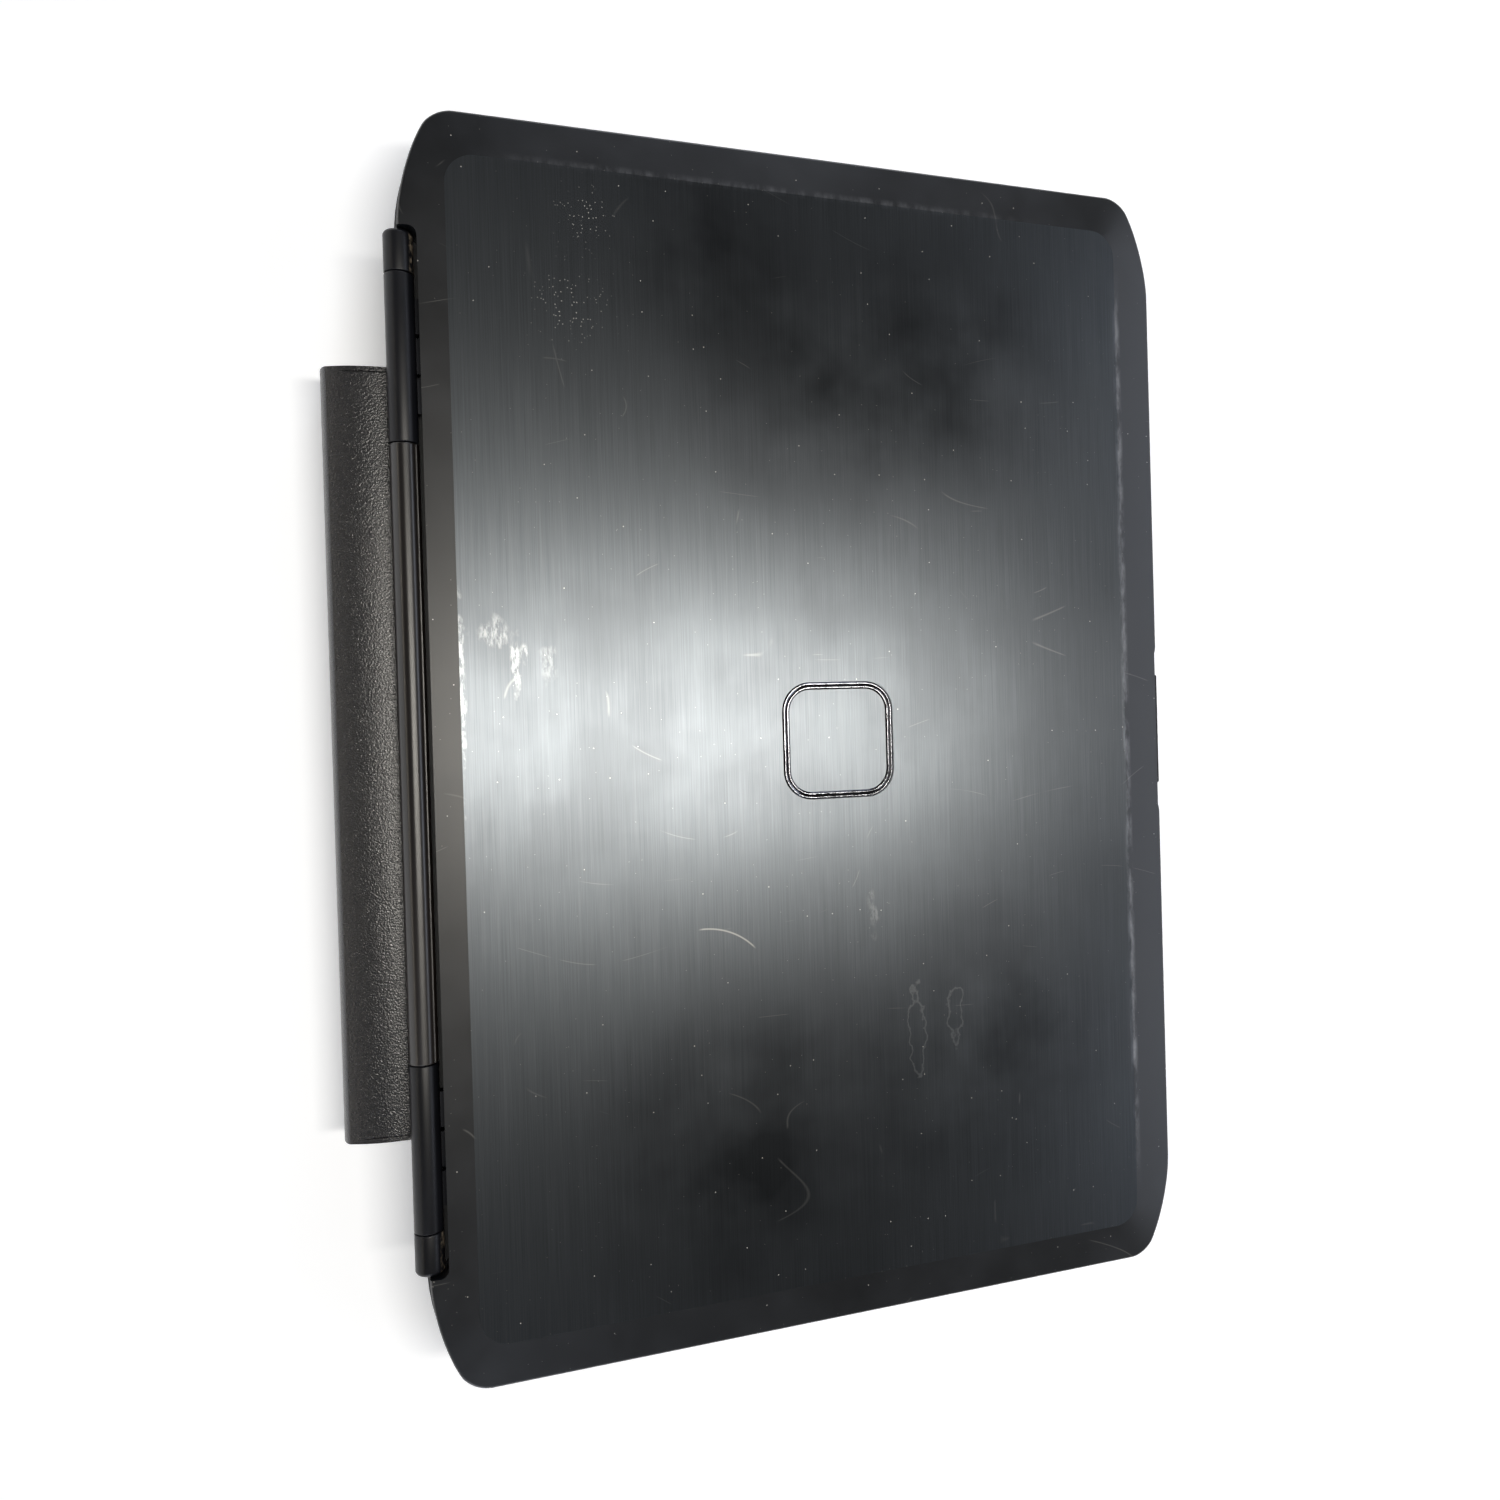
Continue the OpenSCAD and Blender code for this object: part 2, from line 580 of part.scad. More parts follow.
module bottom_case() {
  color([0.1, 0.1, 0.11]) placed() difference() {
    union() {
      difference() {
        hull() {
          slab(base_z0, base_z0 + sheet, base_d, taper);
          slab(base_z0 + taper, split_z, base_d);
        }
        slab(floor_z, split_z + 1, base_d, side_t);
      }
      for (p = deck_screws) screw_boss(p, split_z);
      for (p = keyboard_screws) screw_boss(p, plate_z0);
      for (p = board_posts) drill(p.x, p.y, [base_z0 + 0.5, board_z0], post_r);
      for (p = door_screws) drill(p.x, p.y, [base_z0 + 0.5, floor_z + 3], 2.6);
      // Rails that carry the disc drive and walls round the battery bay.
      for (y = [odd_front + 14, odd_front + odd_d - 16])
        block([odd_x0 + 4, half_w - 5], [y, y + 2], [floor_z - 0.5, odd_z0]);
      block([-bay_half - 1.4, bay_half + 1.4], [bay_y0 - 1.4, bay_y0], [base_z0 + 0.2, bay_top]);
      both_sides() block([bay_half, bay_half + 1.4], [bay_y0 - 1.4, base_d - 0.5],
        [base_z0 + 0.2, bay_top]);
    }
    block([-bay_half, bay_half], [bay_y0, base_d + 1], [base_z0 - 1, deck_z]);
    for (p = concat(deck_screws, keyboard_screws)) {
      drill(p.x, p.y, [base_z0 - 1, deck_z], screw_r + 0.1);
      drill(p.x, p.y, [base_z0 - 1, base_z0 + 2.4], 2.8);
    }
    // Service door: a ledge round an opening in the floor.
    block(door_x, door_y, [base_z0 - 1, base_z0 + door_t]);
    difference() {
      block([door_x[0] + 3, door_x[1] - 3], [door_y[0] + 3, door_y[1] - 3], [base_z0, floor_z + 1]);
      for (p = door_screws) drill(p.x, p.y, [base_z0, floor_z + 4], 2.6);
    }
    for (p = door_screws) drill(p.x, p.y, [base_z0, floor_z + 2.4], 1.1);
    block(dock_x, dock_y, [base_z0 - 1, floor_z + 1]);
    for (p = feet) tablet(p.x, p.y, [base_z0 - 1, base_z0 + 0.6], foot_w + 0.3, foot_d + 0.3, 4.3);
    // Air slots under the fan and in the left wall.
    for (x = [fan_x - 15:4:fan_x + 13]) block([x, x + 2], [fan_y - 17, fan_y + 8], [0, floor_z + 1]);
    for (i = [0:vent_n - 1]) left_port([vent_y0 + vent_pitch * i, vent_y0 + vent_pitch * i + 2.1],
      [floor_z + 1.4, split_z - 2.4]);
    // Battery latch slots.
    both_sides() block([latch_x - 8, latch_x + 14], [bay_y0 - 8.4, bay_y0 - 3.6],
      [base_z0 - 1, floor_z + 1]);
    // Sockets on the left and the right.
    for (y = usb_left) left_port([y - usb_w / 2, y + usb_w / 2],
      [board_z0 - usb_h - 0.2, board_z0 - 0.2]);
    left_port([video_y - 9.5, video_y + 9.5], [board_z0 - 8.4, board_z0 - 0.6]);
    for (s = [-1, 1]) translate([-half_w - 1, video_y + s * 12.5, board_z0 - 4.5]) rotate([0, 90, 0])
      cylinder(h = 4, r = 2.6);
    left_port([card_y0, card_y0 + card_w], [card_z0, card_z0 + card_h]);
    left_port([lock_y - 3.5, lock_y + 3.5], [floor_z + 6, floor_z + 9]);
    right_port([usb_right - usb_w / 2, usb_right + usb_w / 2], [board_z0 - usb_h - 0.2, board_z0 - 0.2]);
    right_port([net_y - net_w / 2, net_y + net_w / 2], [board_z0 - net_h - 0.6, board_z0 - 0.2]);
    for (y = sound_y) translate([half_w - 3, y, sound_z]) rotate([0, 90, 0]) cylinder(h = 4, r = 3.6);
    translate([half_w - 3, inlet_y, inlet_z]) rotate([0, 90, 0]) cylinder(h = 4, r = inlet_r + 1.1);
    right_port([odd_front - 0.2, odd_front + odd_d + 0.2], [odd_z0 - 0.2, odd_z0 + odd_h + 0.2]);
    // Speaker slots in the front wall.
    both_sides() for (x = [speaker_x[0] + 2:4.6:speaker_x[1] - 4])
      block([x, x + 2], [-1, side_t + 1], [floor_z + 2.6, split_z - 4.4]);
  }
}

top_open_x = keyboard_w / 2 + kb_rim + fit;

module button_hole(x, y, w, d) {
  block([x - fit, x + w + fit], [y - fit, y + d + fit], [under_deck - 1, deck_z + 1]);
}

module top_cover() {
  color([0.14, 0.14, 0.155]) placed() {
    difference() {
      union() {
        difference() {
          hull() {
            slab(split_z, deck_z - 0.6, base_d);
            slab(deck_z - sheet, deck_z, base_d, 0.6);
          }
          slab(split_z - 1, under_deck, base_d, side_t);
        }
        for (p = deck_screws) drill(p.x, p.y, [split_z, under_deck + 0.5], boss_r - 0.4);
      }
      for (p = deck_screws) drill(p.x, p.y, [split_z - 1, deck_z - 1], screw_r + 0.1);
      block([-top_open_x, top_open_x], [keyboard_front - kb_rim - fit, keyboard_back + kb_rim + fit],
        [split_z - 1, deck_z + 1]);
      button_hole(pad_x - pad_w / 2, pad_front, pad_w, pad_d);
      for (x = button_xs) {
        button_hole(x, buttons_y0, pad_button_w, button_d);
        button_hole(x, stick_buttons_y0, pad_button_w, stick_button_d);
      }
      for (x = [-quick_x, quick_x]) button_hole(x - quick_w / 2, quick_y - quick_d / 2, quick_w, quick_d);
      both_sides() block([hook_x - hook_w / 2 - 0.7, hook_x + hook_w / 2 + 0.7],
        [hook_y0 - nose - 0.5, hook_y1 + latch_travel + 0.5], [under_deck - 1, deck_z + 1]);
      // Slots for the legs of the hinge brackets.
      both_sides() block([leg_x - 0.3, leg_x + leg_t + 0.3], [axis_y - 3.1, axis_y - 0.1],
        [under_deck - 2, deck_z + 1]);
    }
    // Pillars that carry the plate under the touchpad.
    for (x = [pad_x - pad_w / 2 - 3.2, pad_x + pad_w / 2 + 3.2], y = [buttons_y0 + 2, stick_buttons_y0 + 8])
      drill(x, y, [switch_z, under_deck + 0.5], 2);
  }
}

module service_door() {
  color([0.11, 0.11, 0.12]) placed() difference() {
    union() {
      block([door_x[0] + 0.2, door_x[1] - 0.2], [door_y[0] + 0.2, door_y[1] - 0.2],
        [base_z0, base_z0 + door_t]);
      block([door_x[0] + 8, door_x[1] - 16], [door_y[1] - 8, door_y[1] - 6], [base_z0, floor_z + 2]);
      block([door_x[0] + 20, door_x[1] - 24], [door_y[0] + 6, door_y[0] + 8], [base_z0, floor_z + 1]);
    }
    for (p = door_screws) drill(p.x, p.y, [0, floor_z], 1.15);
    for (i = [0:6]) block([-70 + 12 * i, -62 + 12 * i], [door_y[0] + 24, door_y[0] + 26], [0, floor_z]);
  }
}

module rubber_feet() {
  color([0.05, 0.05, 0.05]) placed() for (p = feet) {
    tablet(p.x, p.y, [base_z0 - 0.6, base_z0 + 0.6], foot_w, foot_d, 4.2);
    tablet(p.x, p.y, [0, base_z0 - 0.6], foot_w - 1.4, foot_d - 1.4, 3.6);
  }
}

// A pan-head screw that is put in from below, with a cross recess.
module screw(p, z0, z1, head_r, r) {
  difference() {
    union() {
      drill(p.x, p.y, [z0, z0 + 1.5], head_r);
      drill(p.x, p.y, [z0, z1], r);
    }
    for (a = [0, 90]) translate([p.x, p.y, z0]) rotate(a) cube([head_r * 1.2, 0.6, 1.4], center = true);
  }
}

module case_screws() {
  color([0.35, 0.35, 0.37]) placed() {
    for (p = deck_screws) screw(p, base_z0 + 0.85, deck_z - 2.2, 2.4, screw_r);
    for (p = keyboard_screws) screw(p, base_z0 + 0.85, plate_z0 + 0.6, 2.4, screw_r);
    for (p = door_screws) {
      drill(p.x, p.y, [base_z0 - 0.5, base_z0 - 0.05], 2.4);
      drill(p.x, p.y, [base_z0 - 0.5, floor_z + 2.2], 1);
    }
  }
}

// ---------- hinge parts on the base ----------

leg_x = sleeve_end + 2.4;
leg_t = 1.5;
shaft_x0 = cover_half + 3;

module hinge_shafts() {
  color([0.5, 0.51, 0.53]) placed() both_sides() difference() {
    union() {
      bar_x([shaft_x0, leg_x + leg_t], axis_y, axis_z, shaft_r);
      bar_x([leg_x, leg_x + leg_t], axis_y, axis_z, shaft_r + 0.6);
      block([leg_x, leg_x + leg_t], [axis_y - 2.8, axis_y - 0.4], [under_deck - 1.4, axis_z]);
      block([leg_x, leg_x + leg_t], [axis_y - 13.2, axis_y - 0.4], [under_deck - 1.4, under_deck - 0.05]);
      block([leg_x, leg_x + 11], [axis_y - 13.2, axis_y - 3.4], [under_deck - 1.4, under_deck - 0.05]);
    }
    // Flats at the free end and screw holes in the foot.
    for (s = [-1, 1]) block([shaft_x0 - 1, shaft_x0 + 2.4], [axis_y - 3, axis_y + 3],
      [axis_z + s * (shaft_r + 0.6) - 1, axis_z + s * (shaft_r + 0.6) + 1]);
    for (y = [axis_y - 10.5, axis_y - 6]) drill(leg_x + 6, y, [under_deck - 2, under_deck + 1], 1.1);
  }
}

// The skirt that joins a barrel part to the top cover's back edge.
module skirt(x) {
  block(x, [axis_y + cap_skirt_y0, axis_y + cap_skirt_y1], [deck_z, axis_z]);
}

module hinge_caps() {
  end_r = 2.6;
  length = cap_end - sleeve_end - 0.15;
  color([0.1, 0.1, 0.11]) placed() both_sides() difference() {
    union() {
      translate([sleeve_end + 0.15, axis_y, axis_z]) rotate([0, 90, 0]) rotate_extrude()
        polygon(concat([[0, 0], [barrel_r, 0]],
          arc([barrel_r - end_r, length - end_r], end_r, 0, 90, 6), [[0, length]]));
      skirt([sleeve_end + 0.15, cap_end - 2]);
    }
    bar_x([sleeve_end, cap_end - 1], axis_y, axis_z, barrel_r - sleeve_wall);
    block([leg_x - 0.3, leg_x + leg_t + 0.3], [axis_y - 3.1, axis_y - 0.1], [deck_z - 1, axis_z]);
  }
}

module hinge_cover() {
  color([0.085, 0.08, 0.08]) placed() difference() {
    union() {
      bar_x([-cover_half, cover_half], axis_y, axis_z, barrel_r);
      skirt([-cover_half, cover_half]);
      // A thin lip along the lid side.
      block([-cover_half, cover_half], [axis_y - barrel_r, axis_y - barrel_r + 0.5],
        [axis_z - 1.6, axis_z + 0.6]);
    }
    bar_x([-cover_half - 1, cover_half + 1], axis_y, axis_z, barrel_r - sleeve_wall - 0.4);
    block([-cover_half + 4, cover_half - 4], [axis_y + cap_skirt_y0 + 1, axis_y + cap_skirt_y1 - 1],
      [deck_z - 1, axis_z]);
  }
}

// ---------- keyboard ----------

// Widths of the keys in each row, from left to right.
function row_function() = [for (i = [0:15]) 18];
function row_number() = concat([for (i = [0:12]) key_pitch], [keyboard_w - 13 * key_pitch]);
function row_upper() = wide_ends(1.5, 12);
function row_home() = wide_ends(1.75, 11);
function row_lower() = wide_ends(2.25, 10);
function wide_ends(first, n) = concat([first * key_pitch], [for (i = [1:n]) key_pitch],
  [keyboard_w - (first + n) * key_pitch]);
bottom_left = [1.6 * key_pitch, key_pitch, key_pitch, key_pitch];
bottom_right = [key_pitch, key_pitch];
function space_w() = keyboard_w - sum(bottom_left) - sum(bottom_right) - 3 * key_pitch;
function sum(v, i = 0) = i < len(v) ? v[i] + sum(v, i + 1) : 0;
function start(v, i) = i > 0 ? v[i - 1] + start(v, i - 1) : 0;

// A key cap: a low frustum with rounded corners and a slightly smaller top.
module cap(x, y, w, d) {
  cw = w - key_gap;
  cd = d - key_gap;
  translate([x + w / 2, y + d / 2, key_z0]) {
    linear_extrude(key_h * 0.6) polygon(round_box(cw, cd, 1.1, 2));
    translate([0, 0, key_h * 0.6])
      linear_extrude(key_h * 0.4, scale = [(cw - 1.4) / cw, (cd - 1.4) / cd], slices = 1, $fn = 12)
        polygon(round_box(cw, cd, 1.1, 2));
  }
}

module key_hole(x, y, w, d) {
  gap = key_gap / 2 - key_clear;
  block([x + gap, x + w - gap], [y + gap, y + d - gap], [plate_z0 - 1, deck_z + 1]);
}

// Calls cap or key_hole for every key of a row that starts at the left edge.
module row(widths, y, d, hole) {
  for (i = [0:len(widths) - 1]) {
    x = start(widths, i) - keyboard_w / 2;
    if (hole) key_hole(x, y, widths[i], d);
    else cap(x, y, widths[i], d);
  }
}

function row_y(i) = keyboard_front + i * row_pitch;

module bottom_keys(hole) {
  row(bottom_left, row_y(0), row_pitch, hole);
  right = keyboard_w / 2 - 3 * key_pitch - sum(bottom_right);
  translate([right + keyboard_w / 2, 0, 0]) row(bottom_right, row_y(0), row_pitch, hole);
  half_d = row_pitch / 2 + key_gap / 2 - 0.6;
  for (i = [0:2]) {
    x = keyboard_w / 2 - (3 - i) * key_pitch;
    if (hole) key_hole(x, row_y(0), key_pitch, half_d);
    else cap(x, row_y(0), key_pitch, half_d);
  }
  up_x = keyboard_w / 2 - 2 * key_pitch;
  up_y = row_y(0) + row_pitch - half_d;
  if (hole) key_hole(up_x, up_y, key_pitch, half_d);
  else cap(up_x, up_y, key_pitch, half_d);
}

module space_key(hole) {
  x = sum(bottom_left) - keyboard_w / 2;
  if (hole) key_hole(x, row_y(0), space_w(), row_pitch);
  else cap(x, row_y(0), space_w(), row_pitch);
}

module stick_well() { drill(stick_x, stick_y, [plate_z0, deck_z + 1], stick_r + 1.2); }

module keyboard_frame() {
  outer_x = keyboard_w / 2 + kb_rim;
  outer_y = [keyboard_front - kb_rim, keyboard_back + kb_rim];
  color([0.09, 0.09, 0.1]) placed() difference() {
    block([-outer_x, outer_x], outer_y, [plate_z0 + plate_t, frame_z1]);
    block([-outer_x + kb_rim, outer_x - kb_rim], [keyboard_front, keyboard_back],
      [plate_z0, frame_z1 - 1]);
    row(row_function(), row_y(5), half_row, true);
    row(row_number(), row_y(4), row_pitch, true);
    row(row_upper(), row_y(3), row_pitch, true);
    row(row_home(), row_y(2), row_pitch, true);
    row(row_lower(), row_y(1), row_pitch, true);
    bottom_keys(true);
    space_key(true);
    drill(stick_x, stick_y, [plate_z0, deck_z], stick_r + 0.5);
  }
}

module keyboard_plate() {
  outer_x = keyboard_w / 2 + kb_rim;
  color([0.6, 0.6, 0.62]) placed() {
    difference() {
      block([-outer_x, outer_x], [keyboard_front - kb_rim, keyboard_back + kb_rim],
        [plate_z0, plate_z0 + plate_t]);
      for (p = keyboard_screws) drill(p.x, p.y, [plate_z0 - 1, plate_z0 + 2], screw_r + 0.1);
    }
    for (x = [-outer_x - 4, outer_x], y = [keyboard_front + 12, keyboard_back - 24])
      block([x, x + 4], [y, y + 9], [plate_z0, plate_z0 + plate_t]);
  }
}

module keys(widths, i, d) {
  color([0.12, 0.12, 0.13]) placed() difference() {
    row(widths, row_y(i), d, false);
    if (i == 1 || i == 2) stick_well();
  }
}

module keys_function() { keys(row_function(), 5, half_row); }
module keys_number() { keys(row_number(), 4, row_pitch); }
module keys_upper() { keys(row_upper(), 3, row_pitch); }
module keys_home() { keys(row_home(), 2, row_pitch); }
module keys_lower() { keys(row_lower(), 1, row_pitch); }
module keys_bottom() { color([0.12, 0.12, 0.13]) placed() bottom_keys(false); }
module space_bar() { color([0.12, 0.12, 0.13]) placed() space_key(false); }

module pointing_stick() {
  color([0.15, 0.25, 0.5]) placed() translate([stick_x, stick_y, plate_z0 + plate_t]) rotate_extrude()
    polygon(concat([[0, 0], [1.6, 0], [1.6, 2.2], [stick_r, 2.6]],
      arc([stick_r - 1, key_top - plate_z0 - plate_t - 1], 1, 0, 90, 4),
        [[0, key_top - plate_z0 - plate_t]]));
}

// ---------- touchpad and buttons ----------

switch_z = under_deck - 3.4;
pad_button_w = pad_w / 2 - 0.6;
button_xs = [pad_x - pad_w / 2, pad_x + 0.6];
flange = 1.4;

module touchpad() {
  color([0.13, 0.13, 0.14]) placed() {
    block([pad_x - pad_w / 2, pad_x + pad_w / 2], [pad_front, pad_front + pad_d],
      [under_deck - 0.8, deck_z - 0.4]);
    block([pad_x - pad_w / 2 - flange, pad_x + pad_w / 2 + flange],
      [pad_front - 0.5, pad_front + pad_d + 0.5], [under_deck - 0.8, under_deck - 0.05]);
    // The steel plate that carries the pad and the button switches.
    difference() {
      block([pad_x - pad_w / 2 - 6, pad_x + pad_w / 2 + 6], [buttons_y0 - 2, stick_buttons_y0 + 12],
        [switch_z - 0.8, switch_z]);
      for (x = button_xs) block([x + 6, x + 14], [pad_front + 8, pad_front + pad_d - 8],
        [switch_z - 1, switch_z + 1]);
    }
    for (x = [pad_x - 30, pad_x + 30], y = [pad_front + 6, pad_front + pad_d - 6])
      drill(x, y, [switch_z - 0.1, under_deck - 0.7], 2.4);
    for (x = button_xs, y = [buttons_y0 + button_d / 2, stick_buttons_y0 + stick_button_d / 2])
      tablet(x + pad_button_w / 2, y, [switch_z - 0.1, switch_z + 0.5], 5, 5, 1);
  }
}

// A button cap with a softly arched top and a flange that keeps it in the cover.
module push_button(x, y, w, d) {
  arch = 60;
  color([0.15, 0.15, 0.16]) placed() {
    difference() {
      block([x, x + w], [y, y + d], [under_deck - 1, deck_z - 0.15]);
      translate([x - 1, y + d / 2, deck_z - 0.35 + arch]) rotate([0, 90, 0])
        cylinder(h = w + 2, r = arch, $fn = 96);
    }
    block([x - 0.1, x + w + 0.1], [y - 0.2, y + d + 0.2], [under_deck - 1.8, under_deck - 1]);
  }
}

module pad_button_left() { push_button(button_xs[0], buttons_y0, pad_button_w, button_d); }
module pad_button_right() { push_button(button_xs[1], buttons_y0, pad_button_w, button_d); }
module stick_button_left() { push_button(button_xs[0], stick_buttons_y0, pad_button_w, stick_button_d); }
module stick_button_right() { push_button(button_xs[1], stick_buttons_y0, pad_button_w, stick_button_d); }

quick_x = 118;
quick_w = 14;
quick_d = 4;

module quick_button(x) {
  color([0.3, 0.3, 0.32]) placed() {
    tablet(x, quick_y, [under_deck - 1, deck_z - 0.1], quick_w, quick_d, 1.4);
    tablet(x, quick_y, [under_deck - 1.6, under_deck - 1], quick_w + 1.6, quick_d + 0.2, 1.6);
  }
}

module power_button() { quick_button(-quick_x); }
module wireless_button() { quick_button(quick_x); }

// ---------- battery ----------

battery_top_in = plate_z0 - 0.4;
battery_crown = deck_z + 0.4;
battery_y0 = bay_y0 + bay_gap;
battery_y1 = base_d + battery_out;
crown_r = 40;
crown_mid = base_d + 9;
back_r = 5;
crown_a = acos((battery_y1 - back_r - crown_mid) / (crown_r - back_r));
back_z = battery_crown - crown_r + (crown_r - back_r) * sin(crown_a);

// Side view of the battery: a flat part inside the bay and a crowned part behind the base.
module battery_pack() {
  sides = concat(
    [[battery_y0, base_z0], [battery_y1 - 3, base_z0]],
    arc([battery_y1 - 3, base_z0 + 3], 3, -90, 0, 5, 1),
    arc([battery_y1 - back_r, back_z], back_r, 0, crown_a, 6),
    arc([crown_mid, battery_crown - crown_r], crown_r, crown_a, 102, 6, 1),
    [[base_d + 0.6, battery_crown - 1.6], [base_d + 0.6, battery_top_in], [battery_y0, battery_top_in]]);
  color([0.13, 0.13, 0.14]) placed() difference() {
    translate([-battery_w / 2, 0, 0]) rotate([90, 0, 90]) linear_extrude(battery_w) polygon(sides);
    // Seams of the end caps, latch pockets, finger grooves and the connector.
    for (s = [-1, 1]) block([s * (battery_w / 2 - 1.4) - 0.15, s * (battery_w / 2 - 1.4) + 0.15],
      [base_d + 1, battery_y1 + 1], [base_z0 - 1, battery_crown + 1]);
    both_sides() block([latch_x - 2, latch_x + 8], [battery_y0 - 1, battery_y0 + 2.4],
      [base_z0 + 1.2, base_z0 + 5]);
    for (i = [0:5]) block([-20, 20], [battery_y1 - 12 - 2 * i, battery_y1 - 11 - 2 * i],
      [0, base_z0 + 0.4]);
    block([-16, 16], [battery_y0 - 1, battery_y0 + 3], [base_z0 + 6, base_z0 + 12]);
  }
}

// A finger slider in the floor with a short tongue towards the battery.
module battery_latch(side) {
  color([0.16, 0.16, 0.17]) placed() mirror([side < 0 ? 1 : 0, 0, 0]) {
    difference() {
      block([latch_x - 7.6, latch_x + 7], [bay_y0 - 8, bay_y0 - 4], [base_z0, floor_z + 0.1]);
      for (i = [0:4]) block([latch_x - 5 + 2.2 * i, latch_x - 4 + 2.2 * i], [bay_y0 - 9, bay_y0 - 3],
        [0, base_z0 + 0.5]);
    }
    block([latch_x - 9, latch_x + 9], [bay_y0 - 9.4, bay_y0 - 2.6], [floor_z + 0.1, floor_z + 1.1]);
    block([latch_x, latch_x + 4], [bay_y0 - 4, bay_y0 - 1.7], [floor_z + 0.1, floor_z + 1.6]);
  }
}

module battery_latch_left() { battery_latch(-1); }
module battery_latch_right() { battery_latch(1); }

// ---------- drives ----------

hdd_x = [card_l + 5.25 - half_w, card_l + 105.25 - half_w];
hdd_y = [12, 82];

module hard_drive() {
  color([0.62, 0.63, 0.65]) placed() {
    difference() {
      block(hdd_x, hdd_y, [floor_z + 0.2, floor_z + 9]);
      block([hdd_x[0] + 4, hdd_x[1] - 4], [hdd_y[0] + 4, hdd_y[1] - 4], [floor_z + 8.4, floor_z + 10]);
    }
    drill(hdd_x[0] + 62, (hdd_y[0] + hdd_y[1]) / 2, [floor_z + 8, floor_z + 9], 20);
  }
}

module disc_drive() {
  wall = 0.7;
  color([0.66, 0.67, 0.68]) placed() difference() {
    block([odd_x0, half_w - side_t - 1.4], [odd_front, odd_front + odd_d], [odd_z0, odd_z0 + odd_h]);
    block([odd_x0 + wall, half_w], [odd_front + wall, odd_front + odd_d - wall],
      [odd_z0 + wall, odd_z0 + odd_h - wall]);
  }
}

tray_z0 = odd_z0 + 1.2;
tray_z1 = odd_z0 + odd_h - 1.2;
tray_floor = tray_z1 - 3;
eject_y = odd_mid + 34;
eject_z = odd_z0 + odd_h / 2;

module disc_tray() {
  color([0.12, 0.12, 0.13]) placed() difference() {
    union() {
      block([odd_x0 + 2.5, half_w - 2.4], [odd_front + 1.6, odd_front + odd_d - 1.6], [tray_z0, tray_z1]);
      block([half_w - 2.5, half_w], [odd_front + 0.2, odd_front + odd_d - 0.2],
        [odd_z0 + 0.2, odd_z0 + odd_h - 0.2]);
    }
    drill(disc_x, odd_mid, [tray_floor, tray_z1 + 1], disc_r);
    drill(disc_x, odd_mid, [tray_z0 + 0.8, tray_z1 + 1], 16);
    drill(disc_x, odd_mid, [0, tray_z1 + 1], 1.5);
    // The slot of the laser sled.
    block([disc_x - 46, disc_x - 18], [odd_mid - 7, odd_mid + 7], [tray_floor - 1.6, tray_z1]);
    block([half_w - 5, half_w + 1], [eject_y - 3.3, eject_y + 3.3], [eject_z - 1.8, eject_z + 1.8]);
    translate([half_w - 5, eject_y + 12, eject_z]) rotate([0, 90, 0]) cylinder(h = 6, r = 0.6);
  }
}

module eject_button() {
  color([0.2, 0.2, 0.21]) placed()
    block([half_w - 3.4, half_w - 0.1], [eject_y - 3, eject_y + 3], [eject_z - 1.5, eject_z + 1.5]);
}

module disc_spindle() {
  color([0.6, 0.6, 0.62]) placed() {
    translate([disc_x, odd_mid, tray_z0 + 1.1]) rotate_extrude() polygon([
      [0, 0], [14.5, 0], [14.5, 1.6], [7.4, 1.9], [7.4, 4.4], [6.2, 5], [0, 5]]);
    drill(disc_x, odd_mid, [tray_z0 + 0.1, tray_z0 + 1.2], 1.45);
  }
}

// ---------- electronics ----------

module board_clearance(p, r) { drill(p.x, p.y, [board_z0 - 1, board_z1 + 1], r); }

module main_board() {
  inner_x = side_t + 1.2 - half_w;
  back = bay_y0 - 2;
  outline = [
    [inner_x, 72], [-95, 72], [-95, 85], [odd_x0 - 2.75, 85], [odd_x0 - 2.75, odd_front + odd_d + 2.4],
    [-inner_x, odd_front + odd_d + 2.4], [-inner_x, base_d - 15], [-inner_x - 14, base_d - 6],
    [bay_half + 4, base_d - 6], [bay_half + 4, back], [inner_x, back]
  ];
  color([0.08, 0.25, 0.13]) placed() {
    difference() {
      translate([0, 0, board_z0]) linear_extrude(board_t) polygon(outline);
      for (p = concat(deck_screws, keyboard_screws)) board_clearance(p, boss_r + 0.5);
    }
    // Processor, bridge chip and memory sockets on the underside.
    block([-94, -58], [126, 162], [board_z0 - 1.6, board_z0]);
    block([-40, -16], [130, 154], [board_z0 - 1.4, board_z0]);
    block([-62, 12], [90, 95], [board_z0 - 5, board_z0]);
    block([-20, 10], [bay_y0 - 8, bay_y0 - 2], [board_z0 - 5, board_z0]);
  }
}

module memory_modules() {
  color([0.1, 0.3, 0.16]) placed() for (k = [0, 1]) {
    z = board_z0 - 4.6 + 2.6 * k;
    block([-59, 9], [95.2, 124.8], [z, z + 1]);
    for (i = [0:3]) block([-56 + 16 * i, -44 + 16 * i], [102, 118], [z - 0.9, z]);
  }
}

module wireless_card() {
  color([0.1, 0.28, 0.3]) placed() {
    block([16, 34], [100, 127], [board_z0 - 3.4, board_z0 - 2.4]);
    block([15, 35], [127, 131], [board_z0 - 4, board_z0]);
    block([18, 32], [104, 120], [board_z0 - 4.8, board_z0 - 3.4]);
  }
}

